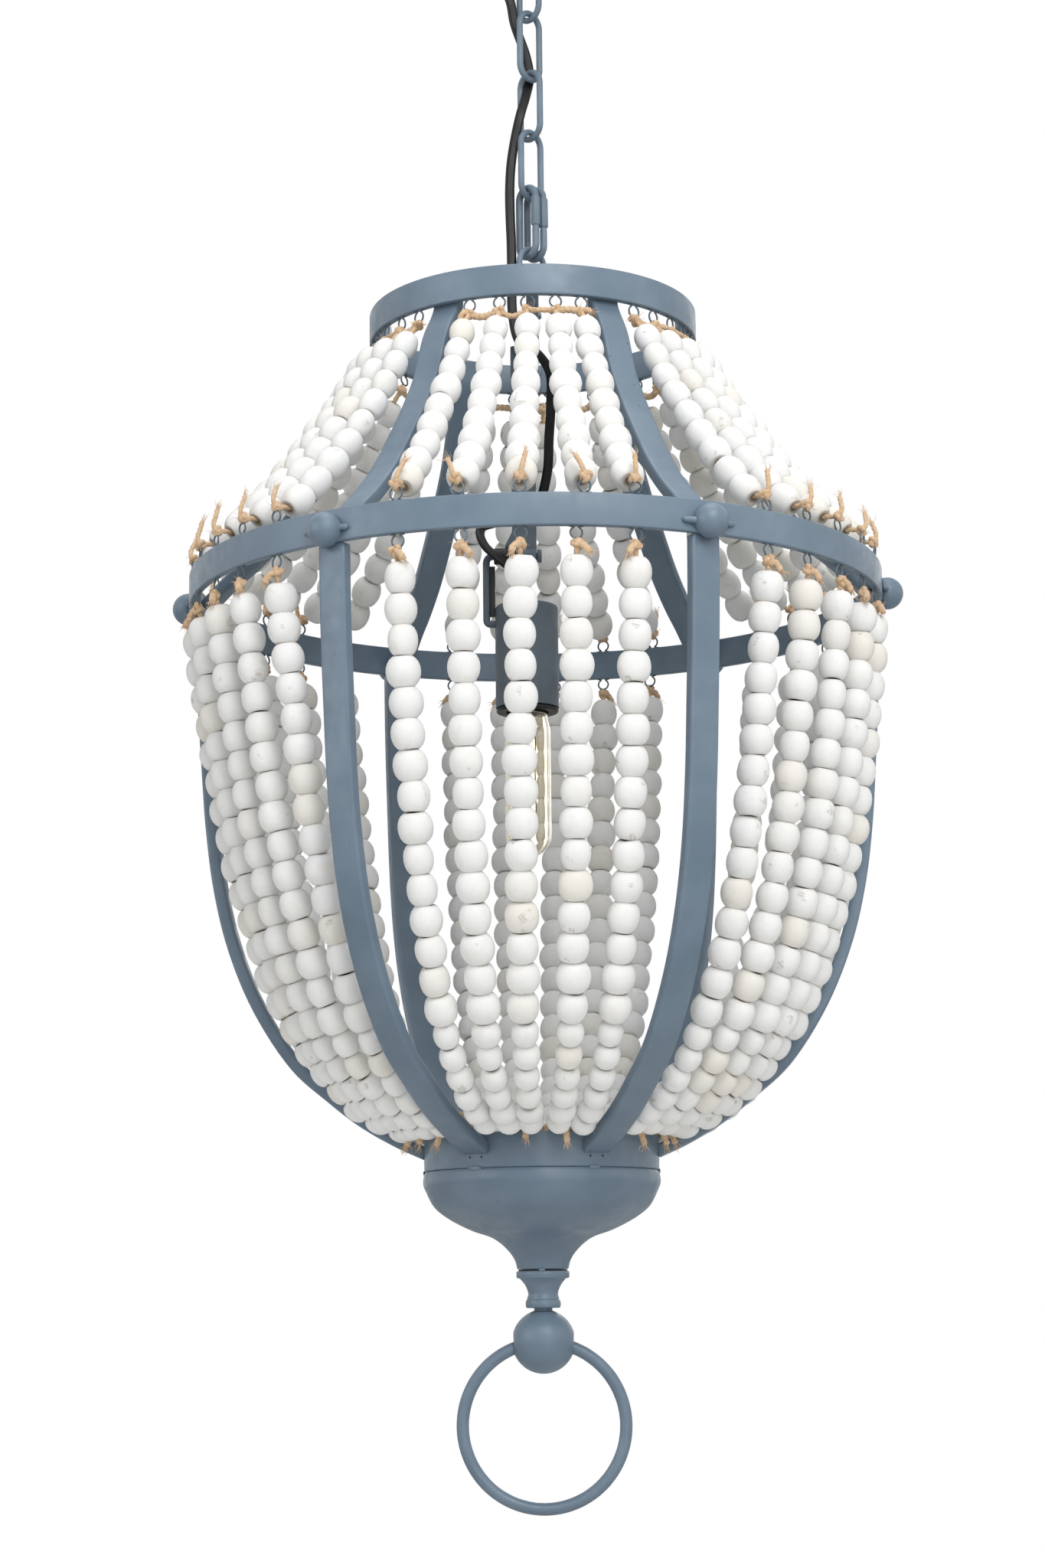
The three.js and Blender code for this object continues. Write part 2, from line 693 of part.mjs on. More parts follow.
const lowerHead = new THREE.Vector2(hoopMiddle(waistRingRadius, hoopThickness), waistBottom - knotRise);
const lowerFoot = new THREE.Vector2(hoopMiddle(collarRadius, collarThickness), collarTop + knotRise);
const lowerSpread = lowerHead.x - lowerFoot.x;
const lowerFall = lowerHead.y - lowerFoot.y;
const lowerPullShares = [[0.027, 0.439], [0.246, 0.979]];
const lowerPulls = lowerPullShares.map(
  ([inward, down]) => new THREE.Vector2(lowerHead.x - lowerSpread * inward, lowerHead.y - lowerFall * down)
);
const lowerCurve = new THREE.CubicBezierCurve(lowerHead, lowerPulls[0], lowerPulls[1], lowerFoot);

const upperStations = strandStations(upperCurve, upperTwineDrop, [
  ...repeated(smallUpperDiameter, smallUpperLength, smallUpperBeads),
  ...repeated(largeUpperDiameter, largeUpperLength, largeUpperBeads),
]);
const lowerStations = strandStations(lowerCurve, lowerTwineDrop, [
  ...repeated(largeLowerDiameter, largeLowerLength, largeLowerBeads),
  ...repeated(smallLowerDiameter, smallLowerLength, smallLowerBeads),
]);
for (let index = 0; index < ribCount; index += 1) {
  const middle = firstRibAzimuth + ((index + 0.5) * 360) / ribCount;
  const upper = panelGeometry(upperStations, topStrandAngle, waistStrandAngle, middle);
  const lower = panelGeometry(lowerStations, waistStrandAngle, collarStrandAngle, middle);
  addPiece(`upper_strands_${index + 1}`, upper, "bead");
  addPiece(`lower_strands_${index + 1}`, lower, "bead");
}

// Bowl: a spun ogee dish, open above, with a hole in its foot for the spool's spigot
const bowlShares = [
  [1, 0], [1.01, 0.115], [0.985, 0.2], [0.92, 0.35], [0.81, 0.465], [0.6, 0.6], [0.42, 0.68],
  [0.31, 0.785], [0.24, 0.9],
];
function bowlGeometry() {
  const outer = bowlShares.map(([out, down]) => [collarRadius * out, bowlTop - bowlHeight * down]);
  outer.push([bowlNeckRadius, bowlBottom]);
  const bore = aroundFlats(spoolSpigotRadius + seatGap, facets.bowl);
  const floor = bowlBottom + bowlWall;
  const inner = bowlShares
    .filter(([out, down], index) => index % 2 === 0 && bowlTop - bowlHeight * down > floor)
    .map(([out, down]) => [collarRadius * out - 2 * bowlWall, bowlTop - bowlHeight * down]);
  inner.push([bore, floor]);
  return turned([...outer, [bore, bowlBottom], ...inner.reverse(), outer[0]], facets.bowl);
}

function spoolGeometry() {
  const cone = spoolTop - spoolFlangeHeight;
  return turned(
    [
      [0, spoolFoot - studDepth],
      [studRadius, spoolFoot - studDepth],
      [studRadius, spoolFoot],
      [spoolFootRadius, spoolFoot],
      [spoolFootRadius, spoolFoot + spoolLipHeight],
      [spoolWaistRadius, spoolFoot + spoolWaistRise],
      [spoolConeRadius, cone],
      [spoolFlangeRadius, cone],
      [spoolFlangeRadius, spoolTop],
      [spoolSpigotRadius, spoolTop],
      [spoolSpigotRadius, spoolTop + spoolSpigotHeight],
      [0, spoolTop + spoolSpigotHeight],
    ],
    facets.lamp
  );
}

// Ball: drilled from above for the stud, and across along the ring's own curve
const finialHoleRise = finialHoleRadius - finialRingWire / 2 - seatGap;
function finialBallGeometry() {
  const ball = new THREE.SphereGeometry(finialBallRadius, facets.ball, facets.ball / 2 + 2).rotateX(Math.PI / 2);
  const crossHole = new THREE.TorusGeometry(
    finialRingMiddle,
    aroundFlats(finialHoleRadius, facets.small),
    facets.small,
    facets.smallHoop
  );
  crossHole.rotateX(Math.PI / 2).translate(0, 0, finialHoleRise - finialRingMiddle);
  const bore = aroundFlats(studRadius + seatGap, facets.small);
  const studHole = turned(rodProfile(bore, finialHoleRadius, finialBallRadius + overrun), facets.small);
  return cut(ball, crossHole, studHole).translate(0, 0, ballCentre);
}

const finialRing = new THREE.TorusGeometry(finialRingMiddle, finialRingWire / 2, facets.small, facets.finialRing);
finialRing.rotateZ(Math.PI / facets.finialRing).rotateX(Math.PI / 2);
finialRing.translate(0, 0, ballCentre - finialRingMiddle);

addPiece("bowl", bowlGeometry(), "frame");
addPiece("spool", spoolGeometry(), "frame");
addPiece("finial_ball", finialBallGeometry(), "frame");
addPiece("finial_ring", finialRing, "frame");

// Hanger bar: a flat strip welded under the cross bar, with a flared foot and a knuckle for the bail
const knuckleCentre = waistTop + knuckleRise;
const knuckleRight = hangerOffset + hangerWidth / 2;
const knuckleLeft = knuckleRight - knuckleLength;
const alongX = (profile, segments) => turned(profile, segments).rotateY(Math.PI / 2);
function hangerGeometry() {
  const left = hangerOffset - hangerWidth / 2;
  const flareFoot = knuckleCentre + bushRadius + seatGap;
  const strip = new THREE.Shape();
  strip.moveTo(left, crossbarBottom - seatGap);
  strip.lineTo(left, flareFoot + 2 * hangerFlare);
  strip.lineTo(left - hangerFlare, flareFoot);
  strip.lineTo(knuckleLeft, flareFoot);
  strip.lineTo(knuckleLeft, knuckleCentre);
  strip.lineTo(knuckleRight, knuckleCentre);
  strip.lineTo(knuckleRight, crossbarBottom - seatGap);
  const bar = new THREE.ExtrudeGeometry(strip, { depth: hangerThickness, bevelEnabled: false });
  bar.translate(0, 0, -hangerThickness / 2).rotateX(Math.PI / 2);
  const knuckle = alongX(rodProfile(knuckleRadius, knuckleLeft, knuckleRight), facets.small);
  const bore = alongX(
    rodProfile(
      aroundFlats(bailWire / 2 + seatGap, facets.small),
      knuckleLeft - hangerFlare - overrun,
      knuckleRight + overrun
    ),
    facets.small
  );
  knuckle.translate(0, 0, knuckleCentre);
  bore.translate(0, 0, knuckleCentre);
  return geometryFrom(solidFrom(bar).add(solidFrom(knuckle)).subtract(solidFrom(bore)));
}

// Bail: a rod through the knuckle, bent down and in again to the side of the lamp holder
const bushRight = knuckleLeft - seatGap;
const bushLeft = bushRight - bushLength;
function bailGeometry() {
  const headLeft = knuckleRight + seatGap;
  const legFoot = waistTop - bailFootDrop;
  const route = new THREE.Path();
  route.moveTo(headLeft + bailHeadLength / 2, knuckleCentre);
  route.lineTo(bailBendRadius - bailReach, knuckleCentre);
  route.absarc(bailBendRadius - bailReach, knuckleCentre - bailBendRadius, bailBendRadius,
    Math.PI / 2, Math.PI, false);
  route.lineTo(-bailReach, legFoot + bailBendRadius);
  route.absarc(bailBendRadius - bailReach, legFoot + bailBendRadius, bailBendRadius,
    Math.PI, (3 * Math.PI) / 2, false);
  route.lineTo(lampOffset - shellRadius - seatGap, legFoot);
  const rod = wireAlong(new UprightCurve(route), bailWire, facets.wire, steps.bail);
  const head = alongX(rodProfile(bailHeadRadius, headLeft, headLeft + bailHeadLength), facets.small);
  return join(rod, head.translate(0, 0, knuckleCentre));
}

const bush = alongX(
  tubeProfile(bushRadius, aroundFlats(bailWire / 2 + seatGap, facets.small), bushLeft, bushRight),
  facets.small
).translate(0, 0, knuckleCentre);

const shellTop = waistTop - shellTopDrop;
const shellFoot = shellTop - shellHeight;
const bulbFoot = shellFoot - bulbStandOut;
const glassTop = bulbFoot + bulbGlassLength;
const capBottom = glassTop + seatGap;
function shellGeometry() {
  const corner = shellCornerRadius;
  const inner = shellRadius - shellWall;
  const bore = aroundFlats(cordHoleRadius, facets.lamp);
  return turned(
    [
      [bore, shellTop],
      [shellRadius - corner, shellTop],
      [shellRadius - corner * (1 - Math.SQRT1_2), shellTop - corner * (1 - Math.SQRT1_2)],
      [shellRadius, shellTop - corner],
      [shellRadius, shellFoot],
      [inner, shellFoot],
      [inner, shellTop - corner],
      [shellRadius - corner, shellTop - shellWall],
      [bore, shellTop - shellWall],
      [bore, shellTop],
    ],
    facets.lamp
  ).translate(lampOffset, 0, 0);
}

// Socket insert: a barrel for the bulb's cap, on a skirt that fills the shell's mouth
function insertGeometry() {
  const bore = aroundFlats(insertBoreRadius, facets.lamp);
  const barrel = insertBoreRadius + insertWall;
  const skirt = (shellRadius - shellWall) * Math.cos(Math.PI / facets.lamp) - seatGap;
  const rimTop = shellFoot - seatGap;
  const top = capBottom + bulbCapLength + contactLength + seatGap + insertWall;
  return turned(
    [
      [0, top],
      [0, top - insertWall],
      [bore, top - insertWall],
      [bore, rimTop - insertRimHeight],
      [insertRimRadius, rimTop - insertRimHeight],
      [insertRimRadius - insertRimHeight / 2, rimTop],
      [skirt, rimTop],
      [skirt, rimTop + insertRimHeight],
      [barrel, rimTop + 2 * insertRimHeight],
      [barrel, top],
      [0, top],
    ],
    facets.lamp
  ).translate(lampOffset, 0, 0);
}

addPiece("hanger_bar", hangerGeometry(), "frame");
addPiece("lamp_bail", bailGeometry(), "lamp");
addPiece("bail_bush", bush, "black");
addPiece("lamp_holder", shellGeometry(), "lamp");
addPiece("socket_insert", insertGeometry(), "black");

// Bulb: screw cap with its contact, a clear tube open at its neck, and a hairpin filament on a stem whose
// flare sits inside the cap
function bulbCapGeometry() {
  const top = capBottom + bulbCapLength;
  return turned(
    [
      [bulbCapRadius - bulbCapWall, capBottom],
      [bulbCapRadius, capBottom],
      [bulbCapRadius, top - bulbCapWall],
      [contactRadius, top],
      [contactRadius, top + contactLength],
      [0, top + contactLength],
      [0, top - 2 * bulbCapWall],
      [bulbCapRadius - bulbCapWall, top - 2 * bulbCapWall],
      [bulbCapRadius - bulbCapWall, capBottom],
    ],
    facets.lamp
  );
}

function bulbGlassGeometry() {
  const neck = bulbCapRadius;
  const outer = [[neck, glassTop], [bulbRadius, glassTop - bulbRadius / 2], [bulbRadius, bulbFoot + bulbRadius]];
  const inner = [];
  for (const share of [1 / 3, 2 / 3]) {
    const angle = (share * Math.PI) / 2;
    outer.push([bulbRadius * Math.cos(angle), bulbFoot + bulbRadius * (1 - Math.sin(angle))]);
  }
  for (const [radius, height] of outer) {
    const sheath = 1 - bulbGlassWall / bulbRadius;
    inner.push([radius * sheath, height < bulbFoot + bulbRadius ? height + bulbGlassWall : height]);
  }
  const profile = [[0, bulbFoot], ...outer.reverse(), ...inner, [0, bulbFoot + bulbGlassWall]];
  return turned(profile, facets.lamp);
}

function filamentGeometry() {
  const top = capBottom + bulbCapLength / 3;
  const stemFoot = top - stemLength;
  const half = filamentSpread / 2;
  const hairpin = new THREE.Path();
  hairpin.moveTo(-half / 2, stemFoot + stemLength / 4);
  hairpin.lineTo(-half, stemFoot - half);
  hairpin.lineTo(-half, stemFoot - filamentLength);
  hairpin.absarc(0, stemFoot - filamentLength, half, Math.PI, 2 * Math.PI, false);
  hairpin.lineTo(half, stemFoot - half);
  hairpin.lineTo(half / 2, stemFoot + stemLength / 4);
  const wire = wireAlong(new UprightCurve(hairpin), filamentWire, facets.filament, steps.filament);
  const flare = (bulbCapRadius - bulbCapWall) * Math.cos(Math.PI / facets.lamp) - seatGap;
  const stem = turned(
    [
      [0, stemFoot],
      [stemRadius, stemFoot],
      [stemRadius, top - 2 * bulbCapWall],
      [flare, top],
      [flare, top + bulbGlassWall],
      [0, top + bulbGlassWall],
    ],
    facets.small
  );
  return join(stem, wire);
}

addPiece("bulb_cap", bulbCapGeometry(), "steel", { x: lampOffset });
addPiece("bulb_glass", bulbGlassGeometry(), "glass", { x: lampOffset });
addPiece("bulb_filament", filamentGeometry(), "filament", { x: lampOffset });

// Power cord, from the gland, down through the links and the top ring, to the lamp holder's side.
// Each point is [x, y, height above the waist ring's top edge].
const cordFromWaist = [
  [-21.5, 3, 424],
  [-13, 3, 405],
  [-10, 2.5, 388],
  [-2.5, 5.8, 366],
  [-0.3, 7.2, 352],
  [-2.8, 3.2, 337],
  [-6.6, -1.6, 322],
  [-10.2, -1.2, 306],
  [-13.2, -1, 287],
  [-14.3, -1, 269],
  [-14.2, -1, 251],
  [-13.6, -2, 232],
  [-13.4, -6, 205],
  [-13, -12, 178],
  [-8, -17, 157],
  [3, -16.5, 150],
  [11, -10, 139],
  [11.5, -4, 120],
  [10, 1, 98],
  [8.5, 5, 75],
  [2, 9, 55],
  [-12, 9.5, 45],
  [-26, 6.5, 42],
  [-35.5, -1, 36],
  [-33, -9, 23],
  [-22, -11, 12],
  [-12, -7.5, 4],
  [-7, -2, -5],
];
function cordGeometry() {
  const cordFoot = capBottom + bulbCapLength + contactLength + insertWall + 2 * seatGap;
  const gland = canopyBottom - seatGap - glandHeight;
  const start = gland - seatGap;
  const points = [
    new THREE.Vector3(-glandOffset, 0, start),
    new THREE.Vector3(-glandOffset, 0, start - 2 * cordDiameter),
    ...cordFromWaist.map(([x, y, rise]) => new THREE.Vector3(x, y, waistTop + rise)),
    new THREE.Vector3(lampOffset, 0, shellTop),
    new THREE.Vector3(lampOffset, 0, cordFoot),
  ];
  const route = new THREE.CatmullRomCurve3(points, false, "centripetal");
  return wireAlong(route, cordDiameter, facets.small, steps.cord);
}
addPiece("power_cord", cordGeometry(), "black");

export default chandelier;
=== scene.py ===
"""Beaded chandelier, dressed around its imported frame.

A steel basket of twelve ribs and three hoops, strung with panels of whitewashed wooden beads on jute twine.
It hangs from a ceiling hook on a short chain and holds one lamp. Metres, +Z up, front at -Y.
Azimuth 0 is the front and grows towards +X.
"""

import logging
import math
from collections.abc import Iterable, Sequence
from dataclasses import dataclass, field
from enum import Enum

import bmesh
import bpy
import numpy as np
from mathutils import Matrix, Vector


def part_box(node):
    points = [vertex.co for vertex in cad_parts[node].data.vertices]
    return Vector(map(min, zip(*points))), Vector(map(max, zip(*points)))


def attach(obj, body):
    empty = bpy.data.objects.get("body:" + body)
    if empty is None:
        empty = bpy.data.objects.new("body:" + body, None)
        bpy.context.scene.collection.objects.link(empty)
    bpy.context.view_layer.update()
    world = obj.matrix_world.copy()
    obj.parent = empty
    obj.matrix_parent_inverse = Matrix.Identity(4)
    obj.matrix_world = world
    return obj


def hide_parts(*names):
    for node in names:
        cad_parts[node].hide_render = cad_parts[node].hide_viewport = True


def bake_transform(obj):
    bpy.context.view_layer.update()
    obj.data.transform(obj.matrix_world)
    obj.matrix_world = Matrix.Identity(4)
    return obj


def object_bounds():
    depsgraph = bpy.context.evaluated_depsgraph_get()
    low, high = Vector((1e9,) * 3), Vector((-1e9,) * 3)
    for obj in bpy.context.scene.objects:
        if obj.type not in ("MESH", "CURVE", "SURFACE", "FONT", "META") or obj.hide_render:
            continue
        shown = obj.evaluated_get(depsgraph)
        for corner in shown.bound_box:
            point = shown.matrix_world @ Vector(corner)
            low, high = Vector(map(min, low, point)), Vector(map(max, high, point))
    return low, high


LOG = logging.getLogger("chandelier")

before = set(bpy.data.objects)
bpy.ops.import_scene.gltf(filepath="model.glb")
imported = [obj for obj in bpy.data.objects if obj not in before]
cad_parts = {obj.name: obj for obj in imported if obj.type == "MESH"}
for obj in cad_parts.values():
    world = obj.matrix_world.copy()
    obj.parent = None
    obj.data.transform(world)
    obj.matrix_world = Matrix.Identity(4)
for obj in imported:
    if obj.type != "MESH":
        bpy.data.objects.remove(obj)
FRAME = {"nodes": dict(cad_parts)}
CAD_LOW, CAD_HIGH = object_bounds()

Point = Sequence[float]
Outline = list[tuple[float, float]]

SEAT_GAP = 0.0003
HOOP_THICKNESS = 0.005
COLLAR_THICKNESS = 0.0035
GLAND_OFFSET = 0.026
LAMP_OFFSET = -0.006
RIB_COUNT = 6
RIB_STEP = 360 / RIB_COUNT
FIRST_RIB_AZIMUTH = -33.0
UP = np.array([0.0, 0.0, 1.0])
MERGE_DISTANCE = 1e-6

# The most of a side that a rounded corner takes.
CORNER_SHARE = 0.45

# Where a section without a wide direction starts to look, and how fast it turns back to level.
FREE_SIDE = (0.9, 0.3, 0.2)
LEVEL_PULL = 0.25

# How far the middle of a cubic curve follows when both of its pulls move.
PULL_SHARE = 0.75

# The places of the share, the two colours and the result on a colour mix node.
MIX_SHARE, MIX_FIRST, MIX_SECOND, MIX_RESULT = 0, 6, 7, 2


class Body(Enum):
    """The moving bodies that the pieces ride on."""

    CEILING = "ceiling"
    CHAIN_1 = "chain_1"
    CHAIN_2 = "chain_2"
    CHAIN_3 = "chain_3"
    CHAIN_4 = "chain_4"
    QUICK_LINKS = "quick_links"
    SLEEVE_FRONT = "sleeve_front"
    SLEEVE_BACK = "sleeve_back"
    FRAME = "frame"
    LAMP = "lamp"
    BULB = "bulb"
    FINIAL_LOOP = "finial_loop"


class Axis(Enum):
    """The axis that a turned piece is turned about."""

    X = "x"
    Z = "z"


class LinkPlane(Enum):
    """The level direction that lies in a chain link's plane."""

    LEFT_NEAR = (math.sqrt(0.5), math.sqrt(0.5))
    RIGHT_NEAR = (math.sqrt(0.5), -math.sqrt(0.5))

    @property
    def level(self) -> np.ndarray:
        """The direction in three dimensions."""
        return np.array([*self.value, 0.0])

    @property
    def across(self) -> tuple[float, float, float]:
        """The level direction square to the link's plane."""
        return (-self.value[1], self.value[0], 0.0)


class StrandEnd(Enum):
    """The two ends of a strand of beads."""

    HEAD = "head"
    FOOT = "foot"


def low(node: str) -> Vector:
    """The lowest corner of a frame node."""
    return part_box(node)[0]


def high(node: str) -> Vector:
    """The highest corner of a frame node."""
    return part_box(node)[1]


def middle(node: str) -> Vector:
    """The centre of a frame node's box."""
    return (low(node) + high(node)) / 2


WAIST_TOP = high("waist_ring").z


def rib_azimuth(place: float) -> float:
    """The azimuth, in degrees, of a rib or of a place between two ribs."""
    return FIRST_RIB_AZIMUTH + place * RIB_STEP


def outward(turn: float) -> np.ndarray:
    """The level direction at an azimuth in radians."""
    return np.array([math.sin(turn), -math.cos(turn), 0.0])


def unit(vectors: np.ndarray) -> np.ndarray:
    """The vectors at unit length."""
    return vectors / np.linalg.norm(vectors, axis=-1, keepdims=True)


def travel(path: np.ndarray) -> np.ndarray:
    """How far along a path each of its points lies."""
    return np.concatenate([[0], np.cumsum(np.linalg.norm(np.diff(path, axis=0), axis=1))])


def spun(points: np.ndarray, azimuth: float) -> np.ndarray:
    """The points turned about +Z by an angle in degrees."""
    return points @ np.array(Matrix.Rotation(math.radians(azimuth), 3, "Z")).T


def rectangle(left: float, first: float, right: float, last: float) -> Outline:
    """The four corners between two places across and two places along."""
    return [(left, first), (right, first), (right, last), (left, last)]


def circle(radius: float, sides: int) -> Outline:
    """A round outline.

    Args:
        radius: Its radius.
        sides: How many points it has.

    Returns:
        The points in order.
    """
    angles = [2 * math.pi * side / sides for side in range(sides)]
    return [(radius * math.cos(angle), radius * math.sin(angle)) for angle in angles]


def softened(corners: Outline, radius: float, steps: int = 4, closed: bool = True) -> Outline:
    """An outline with its corners rounded.

    Args:
        corners: The sharp outline.
        radius: How far from each corner the rounding starts, at most.
        steps: How many steps a rounded corner has.
        closed: Whether the last point joins the first.

    Returns:
        The outline with an arc in place of each corner.
    """
    points: Outline = []
    count = len(corners)
    for index, corner in enumerate(corners):
        if not closed and index in (0, count - 1):
            points.append(corner)
            continue
        here = Vector(corner)
        before = Vector(corners[index - 1]) - here
        after = Vector(corners[(index + 1) % count]) - here
        reach = min(radius, before.length * CORNER_SHARE, after.length * CORNER_SHARE)
        start = here + before.normalized() * reach
        end = here + after.normalized() * reach
        for step in range(steps + 1):
            share = step / steps
            bend = start.lerp(here, share).lerp(here.lerp(end, share), share)
            points.append((bend.x, bend.y))
    return points


def smooth_path(points: Sequence[Point], spans: int) -> np.ndarray:
    """A smooth curve through points, which keeps calm where they lie close together.

    Args:
        points: The points that it passes, in two or three dimensions.
        spans: How many steps lie between two points.

    Returns:
        The points of the curve.
    """
    known = np.array(points, float)
    known = np.vstack([2 * known[0] - known[1], known, 2 * known[-1] - known[-2]])
    curve = []
    for index in range(1, len(known) - 2):
        before, start, end, after = known[index - 1:index + 3]
        gaps = [np.linalg.norm(b - a) ** 0.5 for a, b in ((before, start), (start, end), (end, after))]
        first = (start - before) / gaps[0] - (end - before) / (gaps[0] + gaps[1]) + (end - start) / gaps[1]
        last = (end - start) / gaps[1] - (after - start) / (gaps[1] + gaps[2]) + (after - end) / gaps[2]
        first, last = first * gaps[1], last * gaps[1]
        for step in range(spans):
            t = step / spans
            curve.append(
                (2 * t**3 - 3 * t**2 + 1) * start
                + (t**3 - 2 * t**2 + t) * first
                + (3 * t**2 - 2 * t**3) * end
                + (t**3 - t**2) * last
            )
    curve.append(known[-2])
    return np.array(curve)


def turned(profile: Outline, segments: int, axis: Axis = Axis.Z, centre: Point = (0, 0, 0)) -> np.ndarray:
    """Rings of a profile turned about an axis.

    Args:
        profile: Points of (radius, place along the axis).
        segments: How many points each ring has.
        axis: The axis of the turning.
        centre: A point on that axis, added to every ring.

    Returns:
        The rings, one for each profile point.
    """
    angles = np.arange(segments) * 2 * math.pi / segments
    rings = []
    for radius, along in profile:
        across, upward = radius * np.cos(angles), radius * np.sin(angles)
        level = np.full(segments, along)
        columns = (across, upward, level) if axis is Axis.Z else (level, across, upward)
        rings.append(np.stack(columns, axis=1))
    return np.array(rings) + np.array(centre, float)


def standing_circle(
    radius: float, centre: float, angles: np.ndarray, level: tuple[float, float] = (1.0, 0.0)
) -> np.ndarray:
    """Points of an upright circle round the part's own axis.

    Args:
        radius: Its radius.
        centre: The height of its centre.
        angles: The points' angles in radians, from the level direction upwards.
        level: The level direction that lies in its plane.

    Returns:
        The points.
    """
    reach = radius * np.cos(angles)
    return np.stack([reach * level[0], reach * level[1], centre + radius * np.sin(angles)], axis=1)


def tangents(path: np.ndarray, closed: bool = False) -> np.ndarray:
    """The unit direction of a path at each of its points.

    Args:
        path: The points of the path.
        closed: Whether it joins up.

    Returns:
        The directions.
    """
    if closed:
        return unit(np.roll(path, -1, axis=0) - np.roll(path, 1, axis=0))
    return unit(np.gradient(path, axis=0))


def sweep(
    path: np.ndarray,
    section: Outline,
    wide: Point | None = None,
    closed: bool = False,
    scales: np.ndarray | None = None,
    level: Point | None = None,
) -> np.ndarray:
    """Rings of a section carried along a path.

    Args:
        path: The points of the centre line.
        section: Points of (place along the wide direction, place across it).
        wide: The section's wide direction, or None for one that turns as little as it can.
        closed: Whether the path joins up.
        scales: A size for the section at each point, where it changes.
        level: A direction that a section with no fixed wide direction turns back to, little by little.

    Returns:
        The rings, one for each point of the path.
    """
    along = tangents(path, closed)
    hint = np.array(FREE_SIDE if wide is None else wide, float)
    drawn = np.zeros(3) if level is None else np.array(level, float)
    corners = np.array(section)
    rings = []
    for index, point in enumerate(path):
        side = unit(hint - along[index] * np.dot(hint, along[index]))
        if wide is None:
            hint = side + LEVEL_PULL * (1 - abs(np.dot(drawn, along[index]))) * drawn
        over = np.cross(along[index], side)
        size = 1.0 if scales is None else scales[index]
        rings.append(point + size * (corners[:, :1] * side + corners[:, 1:] * over))
    return np.array(rings)


class Surface:
    """Collects rings of points and the values painted on them, and makes one mesh of them."""

    def __init__(self) -> None:
        """Starts with no points."""
        self.points: list[np.ndarray] = []
        self.faces: list[tuple[int, ...]] = []
        self.marks: dict[str, list[np.ndarray]] = {}
        self.count = 0

    def add(
        self, rings: np.ndarray, closed: bool = False, capped: bool = True, **marks: np.ndarray
    ) -> "Surface":
        """Joins rings into a skin.

        Args:
            rings: The rings, all with the same number of points.
            closed: Whether the last ring joins the first.
            capped: Whether the two end rings are filled.
            **marks: Values for each point, to be kept as attributes of the mesh.

        Returns:
            The same surface.
        """
        rows, columns = rings.shape[:2]
        start = self.count
        for row in range(rows if closed else rows - 1):
            here, there = start + row * columns, start + ((row + 1) % rows) * columns
            for column in range(columns):
                beside = (column + 1) % columns
                self.faces.append((here + column, here + beside, there + beside, there + column))
        if capped and not closed:
            self.faces.append(tuple(range(start + columns - 1, start - 1, -1)))
            last = start + (rows - 1) * columns
            self.faces.append(tuple(range(last, last + columns)))
        self.points.append(rings.reshape(-1, 3))
        for name, values in marks.items():
            self.marks.setdefault(name, []).append(values)
        self.count += rows * columns
        return self

    def turn(self, azimuth: float) -> "Surface":
        """Turns what was added so far about +Z by an angle in degrees, and returns the same surface."""
        self.points = [spun(block, azimuth) for block in self.points]
        return self

    def to_object(self, name: str, sharp: float = 40.0) -> bpy.types.Object:
        """Makes the mesh object, with points that lie in one place made one.

        Args:
            name: Its name.
            sharp: The angle in degrees above which an edge is drawn sharp.

        Returns:
            The object, linked to the scene.
        """
        mesh = bpy.data.meshes.new(name)
        mesh.from_pydata(np.vstack(self.points).tolist(), [], self.faces)
        for mark, blocks in self.marks.items():
            values = np.concatenate(blocks).astype(np.float32)
            kind = "FLOAT_VECTOR" if values.ndim == 2 else "FLOAT"
            attribute = mesh.attributes.new(mark, kind, "POINT")
            attribute.data.foreach_set("vector" if values.ndim == 2 else "value", values.ravel())
        work = bmesh.new()
        work.from_mesh(mesh)
        bmesh.ops.remove_doubles(work, verts=work.verts, dist=MERGE_DISTANCE)
        bmesh.ops.recalc_face_normals(work, faces=work.faces)
        for face in work.faces:
            face.smooth = True
        work.to_mesh(mesh)
        work.free()
        mesh.set_sharp_from_angle(angle=math.radians(sharp))
        thing = bpy.data.objects.new(name, mesh)
        bpy.context.scene.collection.objects.link(thing)
        return thing


def linear(colour: Sequence[int]) -> tuple[float, float, float, float]:
    """A screen colour of 0 to 255 as the linear colour that a shader takes.

    Args:
        colour: Its red, green and blue.

    Returns:
        The linear colour, opaque.
    """
    shares = [value / 255 for value in colour]
    parts = [share / 12.92 if share <= 0.04045 else ((share + 0.055) / 1.055) ** 2.4 for share in shares]
    return (parts[0], parts[1], parts[2], 1.0)


